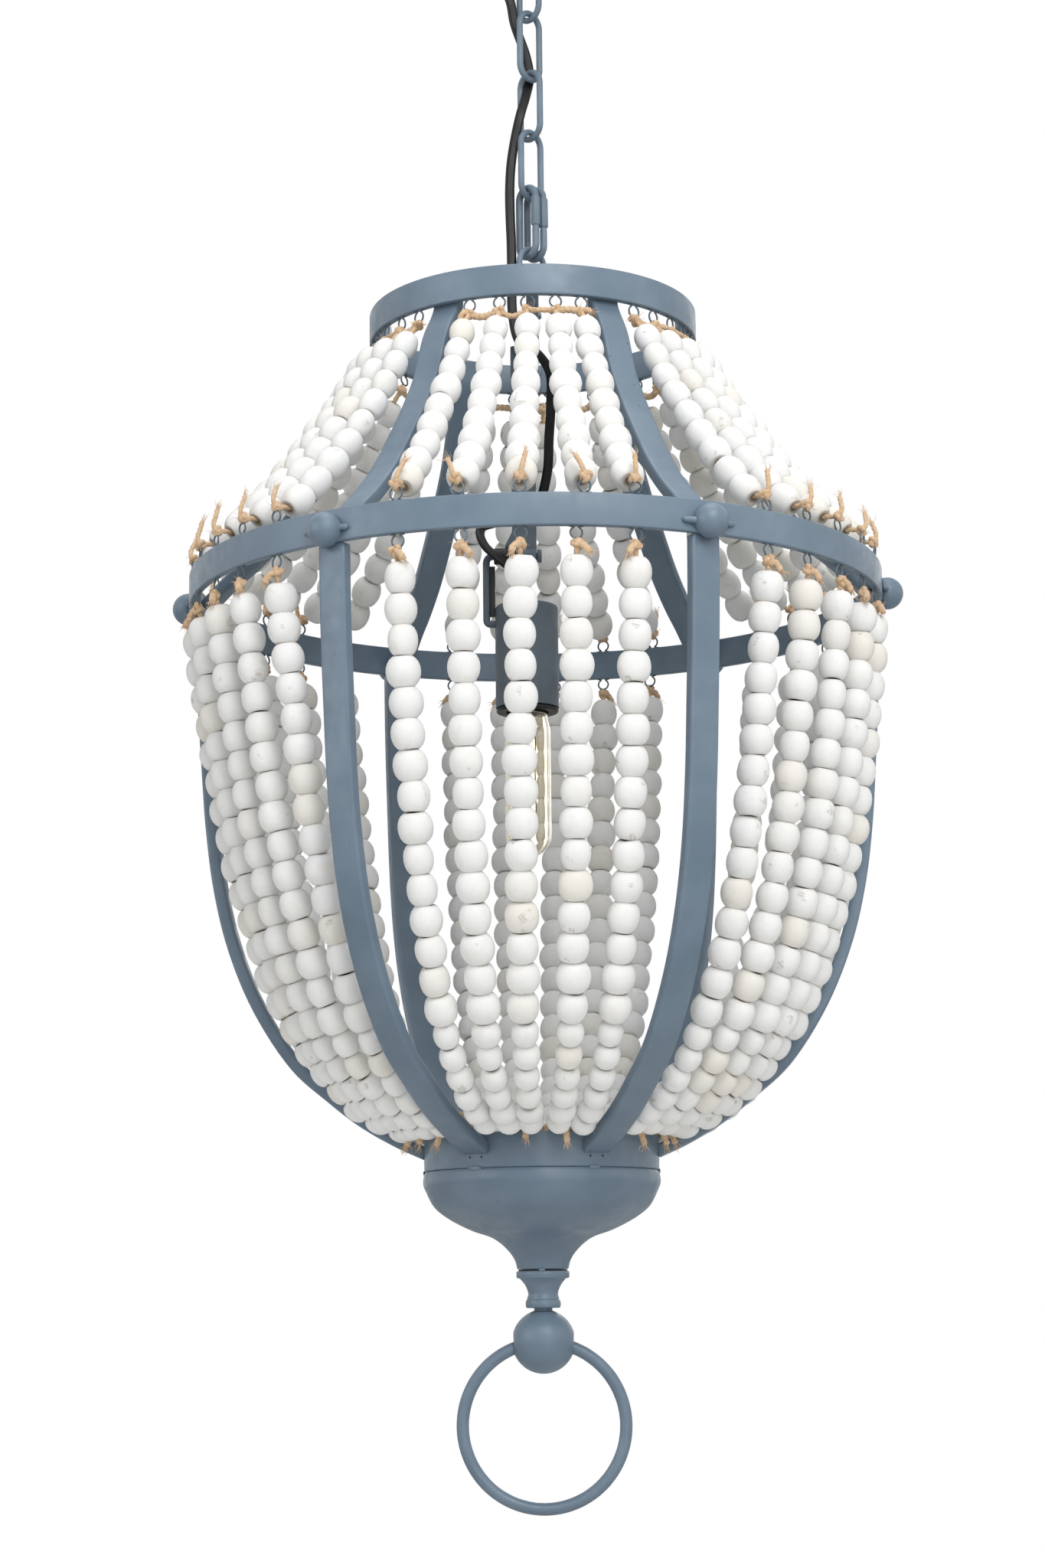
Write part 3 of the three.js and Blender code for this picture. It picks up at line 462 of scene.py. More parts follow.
class NodeBench:
    """A material's node tree, with short calls for the nodes that the finishes share."""

    def __init__(self, name: str) -> None:
        """Makes an empty material of this name with its shader.

        Args:
            name: The material's name.
        """
        self.material = bpy.data.materials.new(name)
        self.material.use_nodes = True
        self.tree = self.material.node_tree
        self.shader = self.tree.nodes["Principled BSDF"]

    def fill(self, node: bpy.types.Node, **inputs: object) -> bpy.types.Node:
        """Fills a node's inputs.

        Args:
            node: The node.
            **inputs: A value or an output socket for each input, by its name in small letters.

        Returns:
            The same node.
        """
        for name, value in inputs.items():
            socket = next(s for s in node.inputs if s.name.lower().replace(" ", "_") == name and s.enabled)
            self.feed(socket, value)
        return node

    def add(self, kind: str, **inputs: object) -> bpy.types.Node:
        """Adds a node of a kind and fills its inputs."""
        return self.fill(self.tree.nodes.new(kind), **inputs)

    def shade(self, **inputs: object) -> None:
        """Fills the shader's own inputs."""
        self.fill(self.shader, **inputs)

    def feed(self, socket: bpy.types.NodeSocket, value: object) -> None:
        """Links an output to a socket, or sets the socket's value.

        Args:
            socket: The input socket.
            value: The output or the value.
        """
        if isinstance(value, bpy.types.NodeSocket):
            self.tree.links.new(value, socket)
        else:
            socket.default_value = value

    def place(self) -> bpy.types.NodeSocket:
        """The point's place on the piece, in metres."""
        return self.add("ShaderNodeTexCoord").outputs["Object"]

    def painted(self, mark: str) -> bpy.types.Node:
        """The node that reads a value painted on the mesh.

        Args:
            mark: The value's name.

        Returns:
            The node.
        """
        node = self.tree.nodes.new("ShaderNodeAttribute")
        node.attribute_name = mark
        return node

    def stretched(self, vector: bpy.types.NodeSocket, scale: Point) -> bpy.types.NodeSocket:
        """A place with each of its axes scaled."""
        return self.add("ShaderNodeMapping", vector=vector, scale=tuple(scale)).outputs[0]

    def noise(
        self, vector: bpy.types.NodeSocket, scale: float, detail: float = 3.0, roughness: float = 0.55
    ) -> bpy.types.NodeSocket:
        """Soft noise.

        Args:
            vector: Where it is read.
            scale: Its waves for each metre.
            detail: How many finer layers it has.
            roughness: How strong the finer layers are.

        Returns:
            The noise from 0 to 1.
        """
        node = self.add("ShaderNodeTexNoise", vector=vector, scale=scale, detail=detail, roughness=roughness)
        return node.outputs[0]

    def band(
        self, value: bpy.types.NodeSocket, start: float, end: float, first: float = 0.0, last: float = 1.0
    ) -> bpy.types.NodeSocket:
        """A value carried smoothly from one range to another.

        Args:
            value: The value that is read.
            start: Where the change begins.
            end: Where it is complete.
            first: The result up to the start.
            last: The result from the end on.

        Returns:
            The new value.
        """
        node = self.tree.nodes.new("ShaderNodeMapRange")
        node.interpolation_type = "SMOOTHSTEP"
        for index, given in enumerate((value, start, end, first, last)):
            self.feed(node.inputs[index], given)
        return node.outputs[0]

    def blend(self, share: object, first: object, second: object) -> bpy.types.NodeSocket:
        """Mixes two colours by a share.

        Args:
            share: How much of the second colour shows.
            first: The first colour.
            second: The second colour.

        Returns:
            The mixed colour.
        """
        node = self.tree.nodes.new("ShaderNodeMix")
        node.data_type = "RGBA"
        for index, given in ((MIX_SHARE, share), (MIX_FIRST, first), (MIX_SECOND, second)):
            self.feed(node.inputs[index], given)
        return node.outputs[MIX_RESULT]

    def tint(
        self,
        under: object,
        colour: Sequence[int],
        value: bpy.types.NodeSocket,
        start: float,
        end: float,
        most: float = 1.0,
    ) -> bpy.types.NodeSocket:
        """Lays a colour over another where a value is high.

        Args:
            under: The colour below.
            colour: The screen colour laid over it.
            value: The value that decides.
            start: Up to where the colour below stays.
            end: Where the colour on top is as strong as it gets.
            most: That strength.

        Returns:
            The mixed colour.
        """
        return self.blend(self.band(value, start, end, 0.0, most), under, linear(colour))

    def math(self, operation: str, *values: object) -> bpy.types.NodeSocket:
        """A sum, product or other operation on numbers.

        Args:
            operation: Which operation it is.
            *values: The numbers or outputs that it takes.

        Returns:
            The result.
        """
        node = self.tree.nodes.new("ShaderNodeMath")
        node.operation = operation
        for index, value in enumerate(values):
            self.feed(node.inputs[index], value)
        return node.outputs[0]

    def relief(self, height: bpy.types.NodeSocket, depth: float, strength: float = 1.0) -> None:
        """Gives the shader a bump, stacked on the one that it has.

        Args:
            height: The height from 0 to 1.
            depth: What a height of 1 is in metres.
            strength: How much of it shows.
        """
        node = self.add("ShaderNodeBump", height=height, distance=depth, strength=strength)
        normal = self.shader.inputs["Normal"]
        if normal.is_linked:
            self.tree.links.new(normal.links[0].from_socket, node.inputs["Normal"])
        self.tree.links.new(node.outputs[0], normal)


@dataclass(frozen=True)
class Finish:
    """What all finishes have: a name and the record's material slot."""

    name: str
    slot: str

    def material(self) -> bpy.types.Material:
        """The finish as a material, made when it is first asked for.

        Returns:
            The material.
        """
        known = bpy.data.materials.get(self.name)
        if known is not None:
            return known
        bench = NodeBench(self.name)
        self.mix(bench)
        return bench.material

    def mix(self, bench: NodeBench) -> None:
        """Fills the material's nodes. Each finish has its own."""
        raise NotImplementedError


@dataclass(frozen=True)
class Paint(Finish):
    """Satin paint over steel: chalky patches, faint brush runs, orange peel and a few small chips."""

    colour: tuple[int, int, int]
    patch: tuple[int, int, int]
    chip: tuple[int, int, int] = (58, 62, 66)
    roughness: float = 0.46
    runs: float = 0.35
    gloss: float = 0.42

    def mix(self, bench: NodeBench) -> None:
        """Fills the nodes of the paint.

        Args:
            bench: The bench that the nodes are put on.
        """
        place = bench.place()
        clouds = bench.noise(place, scale=26.0, detail=5.0)
        runs = bench.noise(bench.stretched(place, (1.0, 1.0, 0.16)), scale=420.0)
        specks = bench.noise(place, scale=310.0, detail=2.0)
        wear = bench.noise(place, scale=120.0, detail=4.0)
        tone = bench.tint(linear(self.patch), self.colour, clouds, 0.34, 0.68)
        tone = bench.tint(tone, self.patch, runs, 0.55, 0.9, most=self.runs)
        tone = bench.tint(tone, self.chip, specks, 0.765, 0.79)
        worn = bench.band(wear, 0.3, 0.7, first=self.roughness - 0.07, last=self.roughness + 0.09)
        bench.shade(base_color=tone, roughness=worn, specular_ior_level=self.gloss)
        bench.relief(bench.noise(place, scale=900.0, detail=2.0), depth=0.00003, strength=0.4)
        bench.relief(bench.noise(place, scale=130.0, detail=2.0), depth=0.00018, strength=0.5)


@dataclass(frozen=True)
class WashedWood(Finish):
    """Turned wood under chalky whitewash: grain along the bead, cream tints, knots, and painted shade in the
    bores and where beads meet.
    """

    wash: tuple[int, int, int] = (240, 240, 239)
    cream: tuple[int, int, int] = (232, 227, 214)
    grain: tuple[int, int, int] = (221, 218, 211)
    stain: tuple[int, int, int] = (176, 168, 154)
    joint_shade: tuple[int, int, int] = (132, 116, 94)

    def mix(self, bench: NodeBench) -> None:
        """Fills the nodes of the washed wood.

        Args:
            bench: The bench that the nodes are put on.
        """
        place = bench.painted("bead_place").outputs["Vector"]
        tone = bench.painted("bead_tone").outputs["Fac"]
        end = bench.painted("bead_end").outputs["Fac"]
        fibres = bench.noise(bench.stretched(place, (1.0, 1.0, 0.12)), scale=900.0, detail=4.0)
        clouds = bench.noise(place, scale=120.0)
        rings = bench.add(
            "ShaderNodeTexWave", vector=place, scale=170.0, distortion=5.0, detail=2.0, detail_scale=1.4
        )
        rings.wave_type = "RINGS"
        rings.rings_direction = "Y"
        knot = bench.band(bench.noise(place, scale=85.0, detail=2.0), 0.66, 0.74)
        mark = bench.math("MULTIPLY", knot, bench.band(rings.outputs["Fac"], 0.3, 0.9, first=0.2, last=0.6))
        colour = bench.tint(linear(self.wash), self.cream, tone, 0.7, 1.0, most=0.6)
        colour = bench.tint(colour, self.cream, clouds, 0.5, 0.78, most=0.4)
        colour = bench.tint(colour, self.grain, fibres, 0.56, 0.8, most=0.45)
        colour = bench.blend(mark, colour, linear(self.stain))
        # Painted shade: this darkens the bored dimples and the rims where beads meet.
        colour = bench.tint(colour, self.joint_shade, end, 0.0, 1.0)
        worn = bench.band(fibres, 0.3, 0.7, first=0.78, last=0.9)
        bench.shade(base_color=colour, roughness=worn, specular_ior_level=0.3)
        bench.relief(fibres, depth=0.00012, strength=0.45)
        bench.relief(bench.noise(place, scale=330.0), depth=0.0002, strength=0.4)


@dataclass(frozen=True)
class Jute(Finish):
    """Two-ply jute twine in a lit tan and a shaded tan: painted shade in the hollows of its relief, and
    patches of painted light.
    """

    # The tan as lit, and the tan as in shade.
    light: tuple[int, int, int] = (238, 217, 188)
    dark: tuple[int, int, int] = (206, 166, 124)

    def mix(self, bench: NodeBench) -> None:
        """Fills the nodes of the twine.

        Args:
            bench: The bench that the nodes are put on.
        """
        place = bench.place()
        hairs = bench.noise(place, scale=2200.0, detail=4.0, roughness=0.7)
        patches = bench.noise(place, scale=260.0)
        lit = bench.band(patches, 0.2, 0.75, first=0.45, last=1.0)
        # The shaded tan shows where the relief is low, as painted shade in the hollows; the lit patches let
        # more of the lit tan through, as painted light.
        share = bench.math("MULTIPLY", bench.band(hairs, 0.3, 0.7), lit)
        bench.shade(
            base_color=bench.blend(share, linear(self.dark), linear(self.light)),
            roughness=bench.band(hairs, 0.2, 0.8, first=0.8, last=0.95),
            specular_ior_level=0.15,
            sheen_weight=0.25,
            sheen_roughness=0.5,
        )
        bench.relief(hairs, depth=0.0004, strength=0.8)


@dataclass(frozen=True)
class Moulded(Finish):
    """Dark moulded plastic or rubber with a fine grain."""

    colour: tuple[int, int, int]
    scuff: tuple[int, int, int]
    roughness: float
    gloss: float = 0.35

    def mix(self, bench: NodeBench) -> None:
        """Fills the nodes of the moulding.

        Args:
            bench: The bench that the nodes are put on.
        """
        place = bench.place()
        scuffs = bench.noise(bench.stretched(place, (1.0, 1.0, 0.3)), scale=180.0, detail=4.0)
        tone = bench.tint(linear(self.colour), self.scuff, scuffs, 0.5, 0.8)
        worn = bench.band(scuffs, 0.3, 0.7, first=self.roughness - 0.06, last=self.roughness + 0.08)
        bench.shade(base_color=tone, roughness=worn, specular_ior_level=self.gloss)
        bench.relief(bench.noise(place, scale=1600.0, detail=2.0), depth=0.00004, strength=0.4)


@dataclass(frozen=True)
class BareMetal(Finish):
    """Plated or drawn metal with fine rub marks."""

    colour: tuple[int, int, int]
    tarnish: tuple[int, int, int]
    roughness: float

    def mix(self, bench: NodeBench) -> None:
        """Fills the nodes of the metal.

        Args:
            bench: The bench that the nodes are put on.
        """
        place = bench.place()
        clouds = bench.noise(place, scale=160.0, detail=4.0)
        rubs = bench.noise(bench.stretched(place, (1.0, 1.0, 8.0)), scale=300.0)
        tone = bench.tint(linear(self.colour), self.tarnish, clouds, 0.35, 0.75)
        worn = bench.band(rubs, 0.3, 0.7, first=self.roughness, last=self.roughness + 0.15)
        bench.shade(base_color=tone, roughness=worn, metallic=1.0)
        bench.relief(rubs, depth=0.00003, strength=0.4)


@dataclass(frozen=True)
class LampGlass(Finish):
    """Clear lamp glass with a faint amber coat that is thicker in places."""

    clear: tuple[int, int, int] = (249, 246, 236)
    amber: tuple[int, int, int] = (243, 236, 218)

    def mix(self, bench: NodeBench) -> None:
        """Fills the nodes of the glass.

        Args:
            bench: The bench that the nodes are put on.
        """
        place = bench.place()
        coat = bench.noise(bench.stretched(place, (1.0, 1.0, 0.4)), scale=34.0, detail=2.0)
        dust = bench.noise(place, scale=900.0)
        tone = bench.tint(linear(self.clear), self.amber, coat, 0.3, 0.7)
        haze = bench.band(dust, 0.5, 0.8, first=0.015, last=0.09)
        bench.shade(base_color=tone, roughness=haze, transmission_weight=1.0, ior=1.46)
        bench.relief(bench.noise(place, scale=60.0, detail=1.0), depth=0.0003, strength=0.15)


FRAME_PAINT = Paint(
    "blue_grey_paint", "frame_paint", (109, 127, 143), (99, 117, 133), roughness=0.4, gloss=0.5,
)
CHAIN_PAINT = Paint(
    "satin_chain_paint", "chain_paint", (113, 130, 144), (100, 116, 130), runs=0.2, gloss=0.38,
)
WIRE_PAINT = Paint("loop_wire_paint", "frame_paint", (100, 115, 127), (78, 90, 100), runs=0.1)
LAMP_PAINT = Paint(
    "dark_lamp_paint", "lamp_paint", (93, 105, 115), (82, 93, 102), roughness=0.5, runs=0.15,
)
WOOD = WashedWood("whitewashed_wood", "beads")
JUTE = Jute("jute_twine", "beads")
# Painted shade: the dark finish of the dots in the weld pits and of the band in the slit over the spool.
PIT_SHADE = Moulded("pit_shade", "frame_paint", (44, 48, 52), (58, 62, 66), 0.7)
BLACK_PLASTIC = Moulded("black_moulding", "black_plastic", (24, 25, 28), (38, 39, 42), 0.45)
CORD_SHEATH = Moulded("twin_cord_jacket", "cord_sheath", (11, 12, 14), (22, 23, 26), 0.38, 0.28)
ZINC = BareMetal("zinc_plate", "bare_steel", (196, 198, 200), (160, 163, 166), 0.28)
CAP_METAL = BareMetal("bulb_cap_metal", "bare_steel", (206, 200, 186), (176, 168, 150), 0.26)
FILAMENT = BareMetal("filament_wire", "filament", (104, 92, 74), (74, 64, 50), 0.45)
GLASS = LampGlass("lamp_glass", "bulb_glass")


class SubAssembly:
    """Shared by all sub-assemblies: turns surfaces into finished pieces."""

    def finish_piece(
        self,
        name: str,
        shape: Surface | bpy.types.Object,
        finish: Finish,
        body: Body | None,
        replaced: Iterable[str] = (),
    ) -> bpy.types.Object:
        """Makes a piece, gives it its finish and lets it ride on its body.

        Args:
            name: The piece's name.
            shape: Its surface, or a finished mesh object.
            finish: Its finish.
            body: The body that it rides on, or None to leave it on no body.
            replaced: The frame nodes that it stands for.

        Returns:
            The piece.
        """
        thing = shape.to_object(name) if isinstance(shape, Surface) else shape
        thing.data.materials.clear()
        thing.data.materials.append(finish.material())
        if replaced:
            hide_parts(*replaced)
        if body is not None:
            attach(thing, body.value)
        LOG.info("%s: %d points", name, len(thing.data.vertices))
        return thing


@dataclass
class PhotoCamera:
    """The camera of the photograph, as fitted to the hoops, ribs and finial."""

    distance: float = 1.950
    rise: float = -0.4705
    focal_pixels: float = 4000.0
    pitch: float = 0.171
    roll: float = -0.010
    yaw: float = -0.005
    photo_height: int = 2048
    sensor_height: float = 36.0

    def build(self) -> bpy.types.Object:
        """Makes the camera and gives it to the scene.

        Returns:
            The camera.
        """
        lens = bpy.data.cameras.new("photo_camera")
        lens.sensor_fit = "VERTICAL"
        lens.sensor_height = self.sensor_height
        lens.lens = self.focal_pixels / self.photo_height * self.sensor_height
        camera = bpy.data.objects.new("photo_camera", lens)
        bpy.context.scene.collection.objects.link(camera)
        forward = Vector((
            math.sin(self.yaw) * math.cos(self.pitch),
            math.cos(self.yaw) * math.cos(self.pitch),
            math.sin(self.pitch),
        ))
        level = Vector((math.cos(self.yaw), -math.sin(self.yaw), 0.0))
        upright = level.cross(forward)
        right = level * math.cos(self.roll) + upright * math.sin(self.roll)
        top = upright * math.cos(self.roll) - level * math.sin(self.roll)
        turn = Matrix((right, top, -forward)).transposed().to_4x4()
        camera.matrix_world = Matrix.Translation((0.0, -self.distance, WAIST_TOP + self.rise)) @ turn
        bpy.context.scene.camera = camera
        return camera


@dataclass
class Studio:
    """A pale floor, a white backdrop and soft light from all sides and from above."""

    floor_radius: float = 7.0
    floor_drop: float = 0.62
    ambient: float = 0.22
    floor_colour: tuple[int, int, int] = (244, 244, 242)
    floor_mottle: int = 3
    floor_thickness: float = 0.01
    floor_glow: float = 0.5
    target: tuple[float, float, float] = (0.0, 0.0, -0.62)
    lamps: tuple[tuple[str, tuple[float, float, float], float, float], ...] = (
        ("front_light", (0.5, -2.0, 0.75), 1.5, 37.0),
        ("low_front_light", (0.9, -2.7, -0.9), 1.8, 11.0),
        ("left_light", (-2.3, -1.3, 0.0), 1.6, 17.0),
        ("right_light", (2.4, -0.7, 0.2), 1.6, 9.0),
        ("top_light", (0.1, -0.2, 1.7), 1.4, 16.0),
        ("back_light", (0.6, 2.6, 0.3), 1.6, 10.0),
    )

    def build(self) -> None:
        """Makes the floor, the light and the backdrop."""
        height = CAD_LOW.z - self.floor_drop
        slab = rectangle(0.0, height, self.floor_radius, height - self.floor_thickness)
        ground = Surface().add(turned(slab, 96), capped=False).to_object("floor")
        ground.data.materials.append(self.floor_material())
        for name, place, size, power in self.lamps:
            self.add_lamp(name, Vector(place), size, power)
        self.light_world()

    def floor_material(self) -> bpy.types.Material:
        """The floor's plain pale material.

        Returns:
            The material.
        """
        bench = NodeBench("pale_floor")
        grain = bench.noise(bench.place(), scale=3.0, detail=2.0)
        dull = linear([value - self.floor_mottle for value in self.floor_colour])
        bench.shade(base_color=bench.tint(dull, self.floor_colour, grain, 0.3, 0.7), roughness=0.9)
        glow = bench.add("ShaderNodeEmission", color=(1.0, 1.0, 1.0, 1.0), strength=1.0)
        seen = bench.add("ShaderNodeLightPath").outputs["Is Camera Ray"]
        mixed = bench.add("ShaderNodeMixShader", fac=bench.math("MULTIPLY", seen, self.floor_glow))
        bench.tree.links.new(bench.shader.outputs[0], mixed.inputs[1])
        bench.tree.links.new(glow.outputs[0], mixed.inputs[2])
        bench.tree.links.new(mixed.outputs[0], bench.tree.nodes["Material Output"].inputs[0])
        return bench.material

    def add_lamp(self, name: str, place: Vector, size: float, power: float) -> None:
        """Adds one soft square light aimed at the chandelier.

        Args:
            name: Its name.
            place: Where it stands.
            size: The length of its side.
            power: Its power in watts.
        """
        light = bpy.data.lights.new(name, "AREA")
        light.size = size
        light.energy = power
        lamp = bpy.data.objects.new(name, light)
        bpy.context.scene.collection.objects.link(lamp)
        lamp.location = place
        lamp.visible_camera = False
        lamp.rotation_euler = (Vector(self.target) - place).to_track_quat("-Z", "Y").to_euler()

    def light_world(self) -> None:
        """Gives the world an even light, and white where it is seen directly or in glass and gloss."""
        world = bpy.data.worlds.new("studio_world")
        world.use_nodes = True
        bpy.context.scene.world = world
        tree = world.node_tree
        even = tree.nodes["Background"]
        even.inputs["Color"].default_value = (1.0, 1.0, 1.0, 1.0)
        even.inputs["Strength"].default_value = self.ambient
        white = tree.nodes.new("ShaderNodeBackground")
        white.inputs["Color"].default_value = (1.0, 1.0, 1.0, 1.0)
        white.inputs["Strength"].default_value = 1.0
        rays = tree.nodes.new("ShaderNodeLightPath")
        seen = rays.outputs["Is Camera Ray"]
        for output in ("Is Glossy Ray", "Is Transmission Ray"):
            either = tree.nodes.new("ShaderNodeMath")
            either.operation = "MAXIMUM"
            tree.links.new(seen, either.inputs[0])
            tree.links.new(rays.outputs[output], either.inputs[1])
            seen = either.outputs[0]
        choice = tree.nodes.new("ShaderNodeMixShader")
        tree.links.new(seen, choice.inputs[0])
        tree.links.new(even.outputs[0], choice.inputs[1])
        tree.links.new(white.outputs[0], choice.inputs[2])
        tree.links.new(choice.outputs[0], tree.nodes["World Output"].inputs[0])


@dataclass
class PowerCord(SubAssembly):
    """Flat twin cord from the canopy's gland to the lamp holder, in stretches cut where the chain bends."""

    width: float = 0.0064
    thickness: float = 0.0033
    waist_depth: float = 0.2
    waist_spread: float = 0.28
    sides: int = 20
    spans: int = 6
    gland_offset: float = GLAND_OFFSET
    lamp_offset: float = LAMP_OFFSET
    straight: float = 0.0088
    holder_drop: float = 0.016
    bend_heights: tuple[float, ...] = (-0.0863, -0.128, -0.1705, -0.213, -0.255, -0.300)
    lamp_bend_rise: float = 0.040
    chain: tuple[Body, ...] = (
        Body.CEILING, Body.CHAIN_1, Body.CHAIN_2, Body.CHAIN_3, Body.CHAIN_4, Body.QUICK_LINKS, Body.FRAME,
    )
    from_waist: tuple[tuple[float, float, float], ...] = (
        (-0.0215, 0.003, 0.424),
        (-0.013, 0.003, 0.405),
        (-0.010, 0.0025, 0.388),
        (-0.0025, 0.0058, 0.366),
        (-0.0003, 0.0072, 0.352),
        (-0.0028, 0.0032, 0.337),
        (-0.0066, -0.0016, 0.322),
        (-0.0102, -0.0012, 0.306),
        (-0.0132, -0.001, 0.287),
        (-0.0143, -0.001, 0.269),
        (-0.0142, -0.001, 0.251),
        (-0.0136, -0.002, 0.232),
        (-0.0134, -0.006, 0.205),
        (-0.013, -0.012, 0.178),
        (-0.008, -0.017, 0.157),
        (0.003, -0.0165, 0.150),
        (0.011, -0.010, 0.139),
        (0.0115, -0.004, 0.120),
        (0.010, 0.001, 0.098),
        (0.0085, 0.005, 0.075),
        (0.002, 0.009, 0.055),
        (-0.012, 0.0095, 0.045),
        (-0.026, 0.0065, 0.042),
        (-0.0355, -0.001, 0.036),
        (-0.033, -0.009, 0.023),
        (-0.022, -0.011, 0.012),
        (-0.012, -0.0075, 0.004),
        (-0.007, -0.002, -0.005),
    )

    def route(self) -> np.ndarray:
        """The cord's centre line from the gland to its end inside the lamp holder.

        Returns:
            The points of the line.
        """
        start = low("canopy_gland").z - SEAT_GAP
        points = [(-self.gland_offset, 0.0, start), (-self.gland_offset, 0.0, start - self.straight)]
        points += [(x, y, WAIST_TOP + rise) for x, y, rise in self.from_waist]
        points += [(self.lamp_offset, 0.0, WAIST_TOP - self.holder_drop)]
        points += [(self.lamp_offset, 0.0, low("power_cord").z)]
        return smooth_path(points, self.spans)

    def section(self) -> Outline:
        """The outline of two round cores side by side in one sheath.

        Returns:
            The points in order.
        """
        outline = []
        for side in range(self.sides):
            angle = 2 * math.pi * side / self.sides
            across = math.cos(angle)
            waist = 1 - self.waist_depth * math.exp(-((across / self.waist_spread) ** 2))
            outline.append((across * self.width / 2, math.sin(angle) * waist * self.thickness / 2))
        return outline

    def build(self) -> None:
        path = self.route()
        rings = sweep(path, self.section(), level=(1, 0, 0))
        cuts = [0]
        for height in self.bend_heights:
            cuts.append(int(np.argmax(path[:, 2] < height)))
        turn = int(np.argmax(path[:, 2] < WAIST_TOP + self.lamp_bend_rise))
        cuts += [turn, len(path) - 1]
        for number, (start, end) in enumerate(zip(cuts, cuts[1:]), 1):
            self.stretch(number, path[start:end + 1], rings[start:end + 1])

    def stretch(self, number: int, path: np.ndarray, rings: np.ndarray) -> None:
        """Makes one stretch.

        Args:
            number: Its place in the cord, from 1 at the gland.
            path: Its centre line; not used.
            rings: Its rings.
        """
        surface = Surface().add(rings)
        joints = list(zip(self.chain, self.chain[1:]))
        last = len(joints) + 2
        riding = Body.FRAME if number == last - 1 else None
        thing = self.finish_piece(f"power_cord_{number}", surface, CORD_SHEATH, riding, ["power_cord"])
        if number < last - 1:
            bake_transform(thing)
        elif number == last:
            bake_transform(thing)


@dataclass
class CeilingSet(SubAssembly):
    """Bracket, canopy, gland and hook."""

    canopy_wall: float = 0.0015
    canopy_corner: float = 0.016
    gland_offset: float = GLAND_OFFSET
    gland_wall: float = 0.002
    gland_bore: float = 0.0026
    gland_rim: float = 0.003
    gland_ribs: int = 4
    gland_groove: tuple[tuple[float, float], ...] = ((0.0, 0.0004), (0.0006, 0.0008), (0.0006, 0.0014))
    hook_wire: float = 0.005
    hook_bend_radius: float = 0.011
    hook_bend_angle: float = 300.0
    hook_tip_sizes: tuple[float, ...] = (0.94, 0.75, 0.35)
    hook_top_gap: float = 0.003
    hook_softness: float = 0.0008
    shank_radius: float = 0.003
    collar_radius: float = 0.009
    collar_height: float = 0.006

    def build(self) -> None:
        """Makes the ceiling pieces."""
        self.dress_bracket()
        self.finish_piece("canopy_cup", self.canopy(), FRAME_PAINT, Body.CEILING, ["canopy"])
        self.finish_piece("cord_gland", self.gland(), BLACK_PLASTIC, Body.CEILING, ["canopy_gland"])
        self.finish_piece("hook", self.hook(), FRAME_PAINT, Body.CEILING, ["ceiling_hook"])

    def dress_bracket(self) -> None:
        """Gives the bracket's own flat solid its plated finish."""
        bracket = FRAME["nodes"]["mounting_bracket"]
        bracket.data.materials.clear()
        bracket.data.materials.append(ZINC.material())

    def canopy(self) -> Surface:
        """The spun cup, open above.

        Returns:
            Its surface.
        """
        radius, top, bottom = high("canopy").x, high("canopy").z, low("canopy").z
        wall, corner = self.canopy_wall, self.canopy_corner
        hole = self.shank_radius + SEAT_GAP + wall
        outer = [(hole, bottom), (radius, bottom), (radius, top)]
        inner = [(radius - wall, top), (radius - wall, bottom + wall), (hole, bottom + wall)]
        outer = softened(outer, corner, 10, closed=False)
        inner = softened(inner, corner - wall, 10, closed=False)
        return Surface().add(turned(outer + inner, 96), closed=True)

    def gland(self) -> Surface:
        """The strain relief's ribbed sleeve.

        Returns:
            Its surface.
        """
        top, bottom = high("canopy_gland").z, low("canopy_gland").z
        radius = high("canopy_gland").x + self.gland_offset
        rim = top - self.gland_rim
        profile = [(self.gland_bore, top), (radius, top), (radius, rim)]
        for rib in range(self.gland_ribs):
            share = rib / self.gland_ribs
            level = rim - (rim - bottom) * share
            width = radius - self.gland_wall * share
            profile += [(width - inward, level - down) for inward, down in self.gland_groove]
        profile += [(radius - self.gland_wall, bottom), (self.gland_bore, bottom)]
        return Surface().add(turned(profile, 32, centre=(-self.gland_offset, 0, 0)), closed=True)

    def hook(self) -> Surface:
        """The shank with its collar, and the round bend with a ball tip.

        Returns:
            Its surface.
        """
        bend, shank, plane = self.hook_bend_radius, self.shank_radius, LinkPlane.LEFT_NEAR
        centre = low("ceiling_hook").z + self.hook_wire / 2 + bend
        neck = centre + bend
        top = high("canopy").z - self.hook_top_gap
        collar = low("canopy").z - SEAT_GAP
        foot = collar - self.collar_height
        profile = [
            (0, neck - self.hook_wire / 4), (shank, neck), (shank, foot), (self.collar_radius, foot),
            (self.collar_radius, collar), (shank, collar), (shank, top), (0, top),
        ]
        shank_rings = turned(softened(profile, self.hook_softness, 3, closed=False), 32)
        angles = np.linspace(math.pi / 2, math.pi / 2 - math.radians(self.hook_bend_angle), 64)
        path = standing_circle(bend, centre, angles, plane.value)
        sizes = np.ones(len(path))
        sizes[-len(self.hook_tip_sizes):] = self.hook_tip_sizes
        bend_rings = sweep(path, circle(self.hook_wire / 2, 16), wide=plane.across, scales=sizes)
        return Surface().add(shank_rings, capped=False).add(bend_rings)


